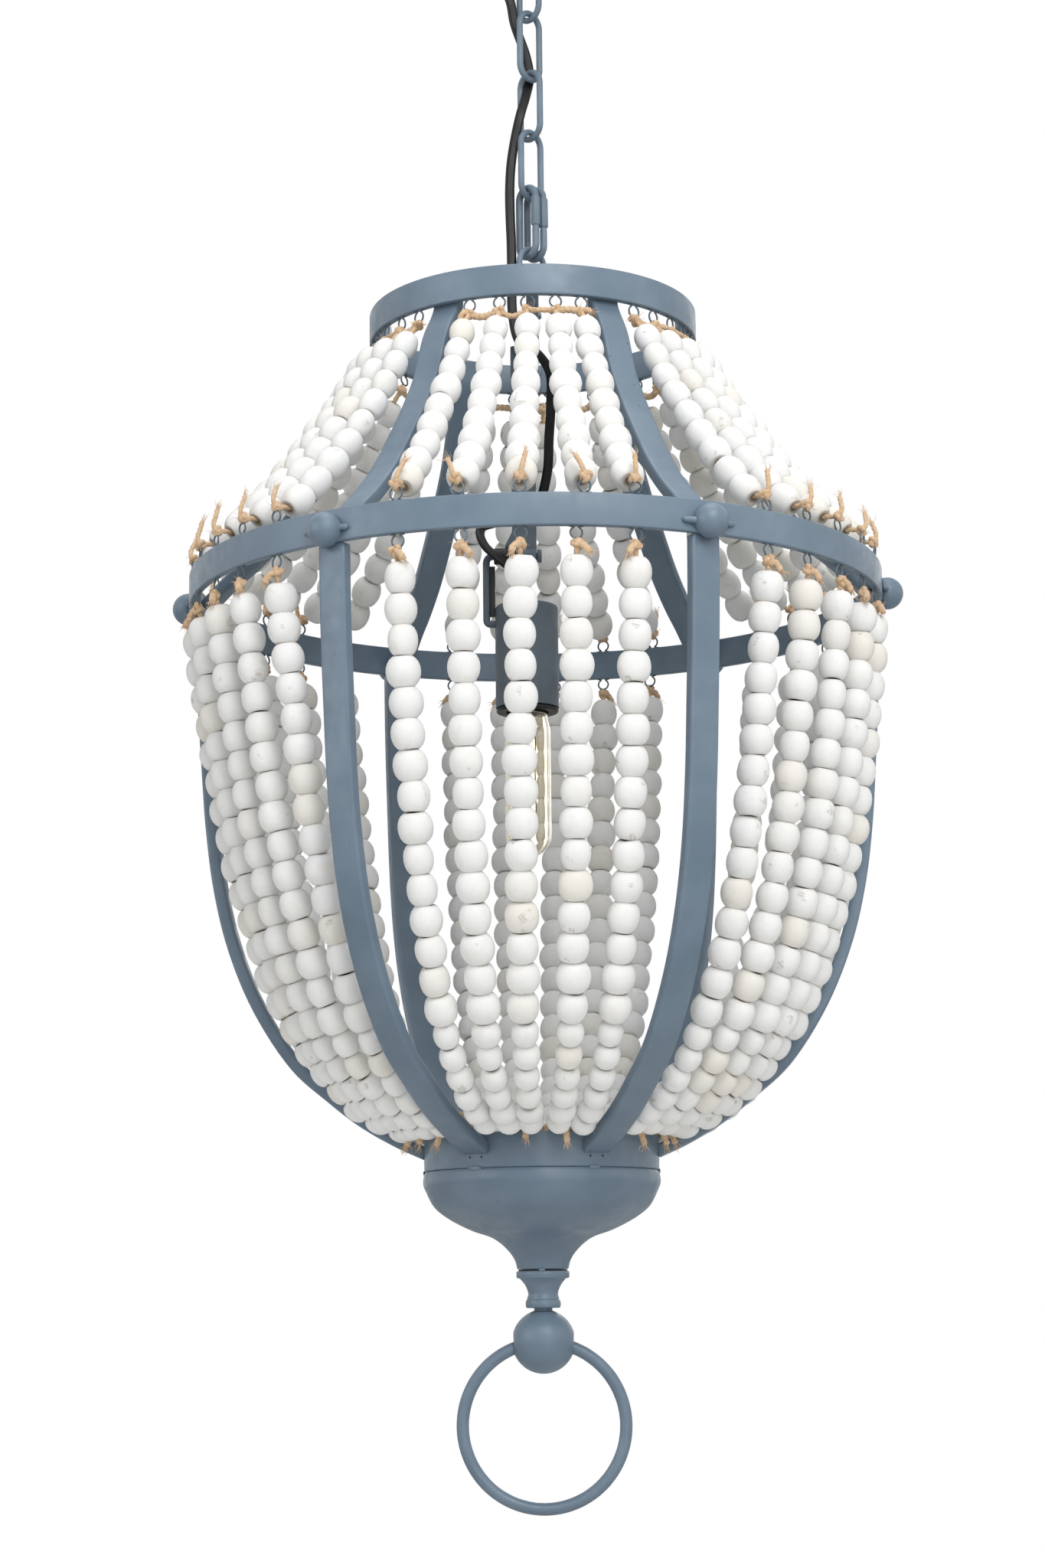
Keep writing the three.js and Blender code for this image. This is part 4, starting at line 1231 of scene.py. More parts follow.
@dataclass
class ChainSet(SubAssembly):
    """Four welded links and the two quick links side by side under them, with their screw sleeves."""

    link_wire: float = 0.0042
    link_width: float = 0.0225
    quick_wire: float = 0.0048
    quick_width: float = 0.020
    sleeve_length: float = 0.020
    sleeve_radius: float = 0.0034
    sleeve_bore: float = 0.00255
    sleeve_chamfer: float = 0.0008
    sleeve_inset: float = 0.0004
    thread_gap: float = 0.006
    thread_inset: float = 0.004
    thread_reach: float = 0.012
    thread_pitch: float = 0.0009
    thread_size: float = 0.94
    thread_depth: float = 0.03
    weld_width: float = 0.0006
    weld_rise: float = 0.05
    weld_sink: float = 0.04
    other_leg_weight: float = 10.0
    sleeve_angle: float = 15.0
    sleeve_corner: float = 0.0006
    sides: int = 16

    def build(self) -> None:
        """Makes the links and sleeves."""
        bodies = (Body.CHAIN_1, Body.CHAIN_2, Body.CHAIN_3, Body.CHAIN_4)
        for index, body in enumerate(bodies):
            plane = LinkPlane.RIGHT_NEAR if index % 2 == 0 else LinkPlane.LEFT_NEAR
            node = f"chain_link_{index + 1}"
            link = self.link(node, plane, index)
            self.finish_piece(f"welded_link_{index + 1}", link, CHAIN_PAINT, body, [node])
        for side, body in (("front", Body.SLEEVE_FRONT), ("back", Body.SLEEVE_BACK)):
            node = f"quick_link_{side}"
            link, sleeve = self.quick_link(node), self.sleeve(node)
            self.finish_piece(f"screw_link_{side}", link, CHAIN_PAINT, Body.QUICK_LINKS, [node])
            self.finish_piece(f"screw_sleeve_{side}", sleeve, CHAIN_PAINT, body, [f"quick_sleeve_{side}"])

    def oval(self, node: str, width: float, wire: float, plane: LinkPlane) -> tuple[np.ndarray, float]:
        """The centre line of an oval link.

        Args:
            node: The frame node that it stands for.
            width: The link's outer width.
            wire: The wire's diameter.
            plane: The link's plane.

        Returns:
            The closed path, from the middle of its right leg, and the half length of that leg.
        """
        centre = np.array(middle(node))
        radius = (width - wire) / 2
        half = (high(node).z - low(node).z - wire) / 2 - radius
        arc = np.linspace(0, math.pi, 33)
        leg = np.linspace(0, 1, 25)[1:-1]
        flat = [(radius, share * half) for share in leg]
        flat = [(radius, 0.0)] + flat + [(radius * math.cos(a), half + radius * math.sin(a)) for a in arc]
        flat += [(-radius, half - share * 2 * half) for share in np.linspace(0, 1, 49)[1:-1]]
        flat += [(-radius * math.cos(a), -half - radius * math.sin(a)) for a in arc]
        flat += [(radius, -half + share * half) for share in leg]
        return np.array([centre + plane.level * across + UP * rise for across, rise in flat]), half

    def link(self, node: str, plane: LinkPlane, index: int) -> Surface:
        """One welded link, with the weld's low ridge on a leg.

        Args:
            node: The frame node that it stands for.
            plane: Its plane.
            index: Its place in the chain, from 0.

        Returns:
            Its surface.
        """
        path, _ = self.oval(node, self.link_width, self.link_wire, plane)
        side = -1 if index % 2 else 1
        from_centre = path - np.array(middle(node))
        other_leg = np.maximum(0, -side * (from_centre @ plane.level))
        from_weld = np.abs(from_centre[:, 2]) + self.other_leg_weight * other_leg
        ridge = np.exp(-((from_weld / self.weld_width) ** 2))
        groove = np.exp(-((from_weld / (self.weld_width * 3)) ** 2))
        sizes = 1 + self.weld_rise * ridge - self.weld_sink * groove
        section = circle(self.link_wire / 2, self.sides)
        return Surface().add(sweep(path, section, plane.across, True, sizes), closed=True)

    def quick_link(self, node: str) -> Surface:
        """One quick link: open where the sleeve screws over its threaded end.

        Args:
            node: The frame node that it stands for.

        Returns:
            Its surface.
        """
        plane = LinkPlane.RIGHT_NEAR
        path, half = self.oval(node, self.quick_width, self.quick_wire, plane)
        centre = np.array(middle(node))
        top = half - self.thread_inset
        rise = path[:, 2] - centre[2]
        right = (path - centre) @ plane.level > 0
        gap = right & (rise < top) & (rise > top - self.thread_gap)
        gone = int(gap.sum())
        path = np.roll(path, -(int(np.argmax(gap)) + gone), axis=0)[:len(path) - gone]
        threaded = np.abs(path[:, 2] - centre[2] - (top - self.thread_gap)) < self.thread_reach
        threaded &= (path - centre) @ plane.level > 0
        ridges = self.thread_depth * np.cos(2 * math.pi * travel(path) / self.thread_pitch)
        sizes = np.where(threaded, self.thread_size + ridges, 1.0)
        section = circle(self.quick_wire / 2, self.sides)
        return Surface().add(sweep(path, section, plane.across, scales=sizes))

    def sleeve(self, node: str) -> Surface:
        """The six-sided screw sleeve on a quick link's right leg, its ends chamfered.

        Args:
            node: The frame node of the quick link that it screws along.

        Returns:
            Its surface.
        """
        centre = np.array(middle(node))
        bend = (self.quick_width - self.quick_wire) / 2
        half = (high(node).z - low(node).z - self.quick_wire) / 2 - bend
        top, bottom = centre[2] + half, centre[2] + half - self.sleeve_length
        outer, chamfer = self.sleeve_radius, self.sleeve_chamfer
        inner = outer - self.sleeve_inset
        angles = [math.radians(60 * side + self.sleeve_angle) for side in range(6)]
        rings = []
        for level, radius in (
            (bottom, inner), (bottom + chamfer, outer), (top - chamfer, outer), (top, inner),
        ):
            corners = [(math.cos(angle) * radius, math.sin(angle) * radius) for angle in angles]
            rings.append([(x, y, level) for x, y in softened(corners, self.sleeve_corner, 3)])
        turn = math.radians(self.sleeve_angle)
        bore = [
            (x * math.cos(turn) - y * math.sin(turn), x * math.sin(turn) + y * math.cos(turn))
            for x, y in circle(self.sleeve_bore, len(rings[0]))
        ]
        rings += [[(x, y, level) for x, y in bore] for level in (top, bottom)]
        leg = bend * math.sqrt(0.5)
        place = np.array([centre[0] + leg, centre[1] - leg, 0.0])
        return Surface().add(np.array(rings) + place, closed=True)


def seat_inside(radius: float, thickness: float, width: float) -> float:
    """How far from the axis a flat face of this width sits inside a round hoop."""
    return math.sqrt((radius - thickness - SEAT_GAP) ** 2 - (width / 2) ** 2)


@dataclass
class Basket(SubAssembly):
    """The three hoops, the twelve ribs, the knobs, the cross bar and the eye bolt."""

    hoop_thickness: float = HOOP_THICKNESS
    collar_thickness: float = COLLAR_THICKNESS
    hoop_edge: float = 0.0011
    rib_width: float = 0.019
    rib_thickness: float = 0.008
    rib_corner: float = 0.0022
    rib_lip: float = 0.0008
    rib_end_size: float = 0.93
    rib_end_growth: float = 0.00001
    lap_height: float = 0.018
    rib_foot_drop: float = 0.0135
    knob_radius: float = 0.0105
    knob_stand_out: float = 0.0135
    knob_drop: float = 0.013
    knob_weld_radius: float = 0.0016
    knob_weld_sizes: tuple[float, ...] = (1.25, 0.9, 0.8, 0.35)
    eye_wire: float = 0.004
    eye_shank_radius: float = 0.003
    eye_collar_radius: float = 0.006
    eye_collar_height: float = 0.003
    eye_softness: float = 0.0007
    crossbar_edge: float = 0.0012
    fillet_radius: float = 0.0016
    fillet_sink: float = 0.0005
    upper_flare_shares: tuple[tuple[float, float], ...] = (
        (0.105, 0.13), (0.19, 0.295), (0.293, 0.425), (0.404, 0.543), (0.575, 0.708),
        (0.72, 0.814), (0.857, 0.897), (1.0, 1.0),
    )
    lower_belly_shares: tuple[tuple[float, float], ...] = (
        (0.0, 0.0), (0.009, 0.132), (0.032, 0.285), (0.053, 0.398), (0.09, 0.511), (0.155, 0.62),
        (0.266, 0.731), (0.435, 0.838), (0.585, 0.894), (0.72, 0.938), (0.87, 0.975), (1.0, 1.0),
    )
    top_radius: float = field(default_factory=lambda: high("top_ring").x)
    waist_radius: float = field(default_factory=lambda: high("waist_ring").x)
    collar_radius: float = field(default_factory=lambda: high("bowl_collar").x)

    def build(self) -> None:
        """Makes the basket's steel."""
        for name, node, thickness in (
            ("hoop_top", "top_ring", self.hoop_thickness),
            ("hoop_waist", "waist_ring", self.hoop_thickness),
            ("hoop_collar", "bowl_collar", self.collar_thickness),
        ):
            self.finish_piece(name, self.hoop(node, thickness), FRAME_PAINT, Body.FRAME, [node])
        for index in range(RIB_COUNT):
            number = index + 1
            for name, surface, node in (
                (f"rib_upper_{number}", self.upper_rib(), f"upper_rib_{number}"),
                (f"rib_lower_{number}", self.lower_rib(), f"lower_rib_{number}"),
                (f"knob_{number}", self.knob(index), f"waist_knob_{number}"),
            ):
                self.finish_piece(name, surface.turn(rib_azimuth(index)), FRAME_PAINT, Body.FRAME, [node])
        self.finish_piece("cross_bar", self.crossbar(), FRAME_PAINT, Body.FRAME, ["crossbar"])
        self.finish_piece("eye", self.eye(), FRAME_PAINT, Body.FRAME, ["eye_bolt"])

    def hoop(self, node: str, thickness: float) -> Surface:
        """A flat band rolled into a hoop, with softened edges.

        Args:
            node: The frame node that it stands for.
            thickness: The band's thickness.

        Returns:
            Its surface.
        """
        radius = high(node).x
        corners = rectangle(radius - thickness, low(node).z, radius, high(node).z)
        return Surface().add(turned(softened(corners, self.hoop_edge), 240), closed=True)

    def bar(self, face: np.ndarray) -> Surface:
        """A flat bar bent to a side profile, at azimuth 0.

        Args:
            face: The outer face's points of (radius, height), from the head to the foot.

        Returns:
            Its surface.
        """
        run = unit(np.gradient(face, axis=0))
        inward = np.stack([run[:, 1], -run[:, 0]], axis=1)
        half_width, half_thickness = self.rib_width / 2, self.rib_thickness / 2
        centre = face + inward * half_thickness
        corners = rectangle(-half_width, -half_thickness, half_width, half_thickness)
        path = np.stack([np.zeros(len(centre)), -centre[:, 0], centre[:, 1]], axis=1)
        start, end = unit(path[0] - path[1]), unit(path[-1] - path[-2])
        path[0] += start * self.rib_end_growth
        path[-1] += end * self.rib_end_growth
        path = np.insert(path, 1, path[0] - start * self.rib_lip, axis=0)
        path = np.insert(path, -1, path[-1] - end * self.rib_lip, axis=0)
        sizes = np.ones(len(path))
        sizes[0] = sizes[-1] = self.rib_end_size
        section = softened(corners, self.rib_corner)
        return Surface().add(sweep(path, section, wide=(1, 0, 0), scales=sizes))

    def upper_rib(self) -> Surface:
        """A straight lap behind the top ring, then a hollow flare to the inside of the waist ring.

        Returns:
            Its surface.
        """
        head = seat_inside(self.top_radius, self.hoop_thickness, self.rib_width)
        foot = seat_inside(self.waist_radius, self.hoop_thickness, self.rib_width)
        foot_height = (low("waist_ring").z + high("waist_ring").z) / 2
        lap_bottom = low("top_ring").z - SEAT_GAP
        points = [(head, lap_bottom + self.lap_height * share) for share in (1.0, 0.5, 0.0)]
        for out, down in self.upper_flare_shares:
            points.append((head + (foot - head) * out, lap_bottom - (lap_bottom - foot_height) * down))
        return self.bar(smooth_path(points, 6))

    def lower_rib(self) -> Surface:
        """A deep belly from under the waist ring in to the collar.

        Returns:
            Its surface.
        """
        head = self.waist_radius - self.hoop_thickness / 2
        foot = self.collar_radius + SEAT_GAP
        top = low("waist_ring").z - SEAT_GAP
        bottom = high("bowl_collar").z - self.rib_foot_drop
        points = [(head - (head - foot) * inward, top - (top - bottom) * down)
                  for inward, down in self.lower_belly_shares]
        return self.bar(smooth_path(points, 6))

    def knob(self, index: int) -> Surface:
        """A ball welded to the waist ring at azimuth 0, with the weld's lumps at its sides.

        Args:
            index: The knob's place round the ring, which varies its welds.

        Returns:
            Its surface.
        """
        radius = self.knob_radius
        back = self.knob_stand_out - radius
        angles = np.linspace(-math.asin(back / radius), math.pi / 2, 20)
        profile = [(0.0, 0.0)] + [(radius * math.cos(a), back + radius * math.sin(a)) for a in angles]
        level = WAIST_TOP - self.knob_drop
        rings = turned(profile, 40)
        out = self.waist_radius + SEAT_GAP
        placed = np.stack([rings[..., 0], -(rings[..., 2] + out), rings[..., 1] + level], axis=-1)
        surface = Surface().add(placed, capped=False)
        chance = np.random.default_rng(40 + index)
        for side in (-1, 1):
            reach = radius * (1.15 + 0.25 * chance.random())
            thick = self.knob_weld_radius * (1 + 0.5 * chance.random())
            lift = 0.0012 * (chance.random() - 0.5)
            path = smooth_path([
                (side * radius * 0.55, -(out + back * 0.9), level + lift),
                (side * reach * 0.8, -(out + 0.0016), level + lift),
                (side * (reach + 0.003), -(out + 0.0004), level + lift * 0.5),
            ], 5)
            sizes = np.interp(np.linspace(0, 1, len(path)), [0, 0.5, 0.9, 1], self.knob_weld_sizes)
            surface.add(sweep(path, circle(thick, 10), scales=sizes))
        return surface

    def crossbar(self) -> Surface:
        """The flat bar on edge across the top ring, with weld fillets at its ends.

        Returns:
            Its surface.
        """
        bottom, top, width = low("crossbar").z, high("crossbar").z, high("crossbar").x
        half = seat_inside(self.top_radius, self.hoop_thickness, width * 2)
        outline = softened(rectangle(-width, bottom, width, top), self.crossbar_edge)
        surface = Surface().add(np.array([[(x, along, z) for x, z in outline] for along in (-half, half)]))
        levels = np.linspace(bottom + 0.001, top - 0.001, 12)
        for side in (-1, 1):
            for edge in (-1, 1):
                path = np.array([(edge * width, side * (half - self.fillet_sink), z) for z in levels])
                sizes = 0.8 + 0.4 * np.random.default_rng(7 + side + 3 * edge).random(len(path))
                sizes[0] = sizes[-1] = 0.3
                surface.add(sweep(path, circle(self.fillet_radius, 10), scales=sizes))
        return surface

    def eye(self) -> Surface:
        """The eye bolt: a round eye, its neck, a collar and the thread in the cross bar.

        Returns:
            Its surface.
        """
        bottom, plane = low("eye_bolt").z, LinkPlane.LEFT_NEAR
        radius = high("eye_bolt").x * math.sqrt(2) - self.eye_wire / 2
        centre = high("eye_bolt").z - self.eye_wire / 2 - radius
        path = standing_circle(radius, centre, np.linspace(0, 2 * math.pi, 72, endpoint=False), plane.value)
        ring = sweep(path, circle(self.eye_wire / 2, 16), wide=plane.across, closed=True)
        foot = high("crossbar").z + SEAT_GAP
        seat = foot + self.eye_collar_height
        shank, collar = self.eye_shank_radius, self.eye_collar_radius
        profile = [
            (0, bottom), (shank, bottom), (shank, foot), (collar, foot), (collar, seat), (shank, seat),
            (shank, centre - radius), (0, centre - radius + 0.001),
        ]
        neck = turned(softened(profile, self.eye_softness, 3, closed=False), 32)
        return Surface().add(ring, closed=True).add(neck, capped=False)


@dataclass(frozen=True)
class BeadRun:
    """Beads of one size that follow each other on a strand."""

    diameter: float
    length: float
    count: int


@dataclass
class Spot:
    """A place on a strand with its own directions."""

    point: np.ndarray
    along: np.ndarray
    side: np.ndarray
    out: np.ndarray


@dataclass
class StrandPanel(SubAssembly):
    """Five strands of beads between two hoops, with the wire loops, twine and knots that hold them."""

    node: str
    azimuth: float
    curve: tuple[tuple[float, float], ...]
    runs: tuple[BeadRun, ...]
    twine_drop: float
    head_angle: float
    foot_angle: float
    head_edge: float
    foot_edge: float
    head_radius: float
    foot_radius: float
    seed: int
    head_shifts: tuple[float, ...] = ()
    foot_shifts: tuple[float, ...] = ()
    strands: int = 5
    loose_angle: float = 0.45
    bead_segments: int = 20
    bead_rings: int = 9
    least_fullness: float = 0.64
    more_fullness: float = 0.2
    bead_tilt: float = 3.2
    bead_shift: float = 0.012
    bead_spread: float = 0.035
    bead_squash: float = 0.02
    grain_span: float = 4.0
    end_share: float = 0.56
    # The bore's radii and depths, and the painted shade on the bore's rings and on the rims where beads
    # meet.
    bore_radii: tuple[float, float] = (0.18, 0.38)
    bore_levels: tuple[float, float] = (0.92, 0.995)
    bore_shades: tuple[float, float] = (1.0, 0.5)
    edge_level: float = 0.97
    edge_shade: float = 0.3
    loop_radius: float = 0.0037
    loop_wire: float = 0.0012
    loop_depth: float = 0.0086
    loop_foot: tuple[tuple[float, float], ...] = ((0.0044, 0.0001), (0.0031, 0.0002))
    loop_arc: tuple[float, float] = (-66.0, 246.0)
    loop_lean: float = 0.0006
    loop_growth: float = 0.05
    twine_radius: float = 0.0016
    twine_sides: int = 10
    twine_step: float = 0.0007
    twine_end_size: float = 0.55
    twine_bite: float = 0.002
    ply_pitch: float = 0.0034
    ply_valley: float = 0.8
    ply_swell: float = 0.28
    fray_count: int = 12
    fray_spread: float = 0.32
    fray_bend: float = 0.0006
    fray_radius: float = 0.00022
    fuzz_count: int = 7
    fuzz_bend: float = 0.0007
    fuzz_radius: float = 0.00015
    knot_gap: float = 0.0008
    knot_pull: float = 0.0012
    knot_scatter: float = 0.0006
    knot_size: float = 0.0027
    knot_size_more: float = 0.0005
    tight_lean: float = 0.8

    def __post_init__(self) -> None:
        """Samples the panel's curve by length."""
        t = np.linspace(0, 1, 801)[:, None]
        points = [np.array(point) for point in self.curve]
        while len(points) > 1:
            points = [(1 - t) * a + t * b for a, b in zip(points, points[1:])]
        self.line = points[0]
        self.travel = travel(self.line)
        self.chance = np.random.default_rng(self.seed)
        loose = self.loose_angle * self.chance.uniform(-1, 1, (2, self.strands))
        self.head_shifts = self.head_shifts or tuple(loose[0])
        self.foot_shifts = self.foot_shifts or tuple(loose[1])

    def heading(self, strand: int, share: float) -> float:
        """The azimuth of a strand, in radians, at a share of its length.

        Args:
            strand: The strand, from 0.
            share: The share of its length, from its head.

        Returns:
            The azimuth.
        """
        apart = self.head_angle + (self.foot_angle - self.head_angle) * share
        shift = self.head_shifts[strand] + (self.foot_shifts[strand] - self.head_shifts[strand]) * share
        return math.radians(self.azimuth + (strand - (self.strands - 1) / 2) * apart + shift)

    def spot(self, strand: int, distance: float) -> Spot:
        """Finds a place on a strand.

        Args:
            strand: The strand, from 0.
            distance: How far along it from its head.

        Returns:
            The place and its directions.
        """
        points = []
        for travelled in (distance, distance + 0.001):
            radius = np.interp(travelled, self.travel, self.line[:, 0])
            height = np.interp(travelled, self.travel, self.line[:, 1])
            radial = outward(self.heading(strand, travelled / self.travel[-1]))
            points.append(radial * radius + UP * height)
        along = unit(points[1] - points[0])
        out = unit(radial - along * np.dot(radial, along))
        return Spot(points[0], along, np.cross(along, out), out)

    def edge_spot(self, strand: int, end: StrandEnd) -> Spot:
        """The place on a hoop's edge that a strand hangs from or is tied down to.

        Args:
            strand: The strand, from 0.
            end: Which of its ends.

        Returns:
            The place and its directions.
        """
        head = end is StrandEnd.HEAD
        radial = outward(self.heading(strand, 0.0 if head else 1.0))
        radius, height = (self.head_radius, self.head_edge) if head else (self.foot_radius, self.foot_edge)
        away = -UP if head else UP
        return Spot(radial * radius + UP * height, away, np.cross(away, radial), radial)

    def build(self) -> None:
        """Makes the panel's beads, loops and twine."""
        kind, _, number = self.node.split("_")
        for name, shape, finish, nodes in (
            ("beads", self.beads, WOOD, [self.node]),
            ("loops", self.loops, WIRE_PAINT, []),
            ("twine", self.twine, JUTE, []),
        ):
            self.finish_piece(f"{name}_{kind}_{number}", shape(), finish, Body.FRAME, nodes)

    def bead_ends(self) -> tuple[float, float]:
        """How far along the strand the first bead starts and the last one ends."""
        return self.twine_drop, self.twine_drop + sum(run.length * run.count for run in self.runs)

    def beads(self) -> Surface:
        """All the panel's beads, each a little different from the next.

        Returns:
            Its surface.
        """
        surface = Surface()
        for strand in range(self.strands):
            travelled = self.twine_drop
            for run in self.runs:
                for _ in range(run.count):
                    self.bead(surface, self.spot(strand, travelled + run.length / 2), run)
                    travelled += run.length
        return surface

    def bead(self, surface: Surface, spot: Spot, run: BeadRun) -> None:
        """Adds one barrel-shaped bead with a bored dimple at each end.

        Args:
            surface: The surface that it is added to.
            spot: Its centre and directions.
            run: Its size.
        """
        chance = self.chance
        fullness = self.least_fullness + self.more_fullness * chance.random()
        end_angle = math.acos(self.end_share ** (1 / fullness))
        angles = np.linspace(-end_angle, end_angle, self.bead_rings)
        barrel = np.sin(angles) / math.sin(end_angle)
        bore_radii, bore_levels = np.array(self.bore_radii), np.array(self.bore_levels)
        radii = np.concatenate([bore_radii, np.cos(angles) ** fullness, bore_radii[::-1]])
        heights = np.concatenate([-bore_levels, barrel, bore_levels[::-1]])
        # Painted shade at the bead's ends: full in the bore, less at its lip and at the rims where beads
        # meet.
        edges = np.where(np.abs(barrel) > self.edge_level, self.edge_shade, 0.0)
        bored = np.concatenate([self.bore_shades, edges, self.bore_shades[::-1]])
        radius = run.diameter / 2 * (1 + self.bead_spread * chance.normal())
        half = run.length / 2
        turn = Matrix.Identity(3)
        for axis in (spot.side, spot.out):
            angle = math.radians(self.bead_tilt * chance.normal())
            turn = Matrix.Rotation(angle, 3, Vector(axis)) @ turn
        spin = 2 * math.pi * chance.random()
        side, out, along = (np.array(turn) @ direction for direction in (spot.side, spot.out, spot.along))
        shift = spot.side * chance.normal() + spot.out * chance.normal()
        centre = spot.point + shift * run.diameter * self.bead_shift
        around = spin + np.arange(self.bead_segments) * 2 * math.pi / self.bead_segments
        squash = 1 + self.bead_squash * chance.normal()
        x = radius * squash * radii[:, None] * np.cos(around)
        y = radius / squash * radii[:, None] * np.sin(around)
        z = half * heights[:, None] * np.ones(self.bead_segments)
        rings = centre + x[..., None] * side + y[..., None] * out + z[..., None] * along
        local = np.stack([x, y, z], axis=-1).reshape(-1, 3) + chance.random(3) * self.grain_span
        surface.add(
            rings,
            bead_place=local,
            bead_tone=np.full(len(local), chance.random()),
            bead_end=np.repeat(bored, self.bead_segments),
        )

    def loops(self) -> Surface:
        """The bent wire loops on both hoops' edges, each with its feet welded along the edge.

        Returns:
            Its surface.
        """
        surface = Surface()
        depth = self.loop_depth - self.loop_wire / 2 - self.loop_radius
        arc = np.radians(np.linspace(*self.loop_arc, 25))
        bend = [(self.loop_radius * math.cos(a), depth + self.loop_radius * math.sin(a)) for a in arc]
        far_foot = [(-across, deep) for across, deep in reversed(self.loop_foot)]
        section = circle(self.loop_wire / 2, 8)
        for end in StrandEnd:
            for strand in range(self.strands):
                spot = self.edge_spot(strand, end)
                lean = self.loop_lean * self.chance.normal()
                grow = 1 + self.loop_growth * self.chance.normal()
                path = [
                    spot.point + spot.side * across * grow + spot.along * deep * grow
                    + spot.out * lean * deep / self.loop_depth
                    for across, deep in [*self.loop_foot, *bend, *far_foot]
                ]
                surface.add(sweep(smooth_path(path, 2), section, wide=spot.out))
        return surface

    def cordage(
        self, surface: Surface, points: Sequence[np.ndarray], radius: float, frayed: bool = False
    ) -> None:
        """Adds a length of two-ply twine.

        Args:
            surface: The surface that it is added to.
            points: The points that it passes.
            radius: Its radius.
            frayed: Whether its far end opens into loose fibres.
        """
        path = smooth_path(points, 8)
        run = travel(path)
        even = np.linspace(0, run[-1], max(6, int(run[-1] / self.twine_step)))
        path = np.stack([np.interp(even, run, path[:, axis]) for axis in range(3)], axis=1)
        around = np.arange(self.twine_sides) * 2 * math.pi / self.twine_sides
        twist = 2 * math.pi * even[:, None] / self.ply_pitch
        lobes = self.ply_valley + self.ply_swell * np.abs(np.cos(around - twist / 2))
        lobes[[0, -1]] *= self.twine_end_size
        centre = path[:, None, :]
        rings = sweep(path, circle(radius, self.twine_sides))
        surface.add(centre + (rings - centre) * lobes[..., None])
        if frayed:
            self.fray(surface, path[-1], unit(path[-1] - path[-3]), radius)

    def fibre(
        self, surface: Surface, start: np.ndarray, reach: np.ndarray, bend: np.ndarray, radius: float
    ) -> None:
        """Adds one loose fibre that thins out.

        Args:
            surface: The surface that it is added to.
            start: Where it leaves the twine.
            reach: From there to its tip.
            bend: How far its middle is pushed aside.
            radius: Its radius at the start.
        """
        path = smooth_path([start, start + reach / 2 + bend, start + reach], 3)
        surface.add(sweep(path, circle(radius, 4), scales=np.linspace(1, 0.3, len(path))))

    def fray(self, surface: Surface, tip: np.ndarray, along: np.ndarray, radius: float) -> None:
        """Adds loose fibres at a twine's end.

        Args:
            surface: The surface that they are added to.
            tip: The twine's end.
            along: The direction that it ends in.
            radius: The twine's radius.
        """
        for _ in range(self.fray_count):
            spread = self.chance.normal(size=3) * self.fray_spread
            reach = unit(along + spread) * (0.0025 + 0.0045 * self.chance.random())
            start = tip - along * 0.0008 + spread * radius
            bend = self.chance.normal(size=3) * self.fray_bend
            self.fibre(surface, start, reach, bend, self.fray_radius)

    def knot(self, surface: Surface, centre: np.ndarray, spot: Spot, size: float) -> None:
        """Adds a pulled-tight knot.

        Args:
            surface: The surface that it is added to.
            centre: Its middle.
            spot: The directions that it is laid out in.
            size: Its half width.
        """
        turns = np.linspace(0, 2 * math.pi, 44, endpoint=False)
        start = 2 * math.pi * self.chance.random()
        across = size * (np.sin(turns + start) + 2 * np.sin(2 * turns)) / 3
        down = size * 0.9 * (np.cos(turns + start) - 2 * np.cos(2 * turns)) / 3
        thick = -size * 0.5 * np.sin(3 * turns)
        path = centre + across[:, None] * spot.side + down[:, None] * spot.along + thick[:, None] * spot.out
        sizes = 0.9 + 0.16 * np.abs(np.sin(9 * turns))
        surface.add(sweep(path, circle(self.twine_radius, 9), closed=True, scales=sizes), closed=True)
        for _ in range(self.fuzz_count):
            aside, down = self.chance.normal(), self.chance.normal()
            direction = unit(spot.out * 0.8 + spot.side * aside + spot.along * down)
            bend = self.chance.normal(size=3) * self.fuzz_bend
            reach = direction * (size + 0.004 * self.chance.random())
            self.fibre(surface, centre + direction * size * 0.6, reach, bend, self.fuzz_radius)

    def twine(self) -> Surface:
        """The knots under the loops, the twine into the beads, and the runs and loose tails.

        Returns:
            Its surface.
        """
        surface = Surface()
        for end, distance in zip(StrandEnd, self.bead_ends()):
            head = end is StrandEnd.HEAD
            knots = []
            for strand in range(self.strands):
                edge, bead = self.edge_spot(strand, end), self.spot(strand, distance)
                toward = unit(bead.point - edge.point)
                knot = edge.point + edge.along * (self.loop_depth + self.knot_gap) + toward * self.knot_pull
                knot = knot + (edge.out + edge.side * self.chance.normal()) * self.knot_scatter
                size = self.knot_size + self.knot_size_more * self.chance.random()
                self.knot(surface, knot, edge, size)
                inside = bead.point + bead.along * (self.twine_bite if head else -self.twine_bite)
                between = (knot + inside) / 2 + edge.out * 0.0004
                self.cordage(surface, [knot, between, inside], self.twine_radius)
                knots.append(knot)
                self.add_tail(surface, knot, edge, end)
            if head and self.node.startswith("upper"):
                self.add_runs(surface, knots)
        return surface

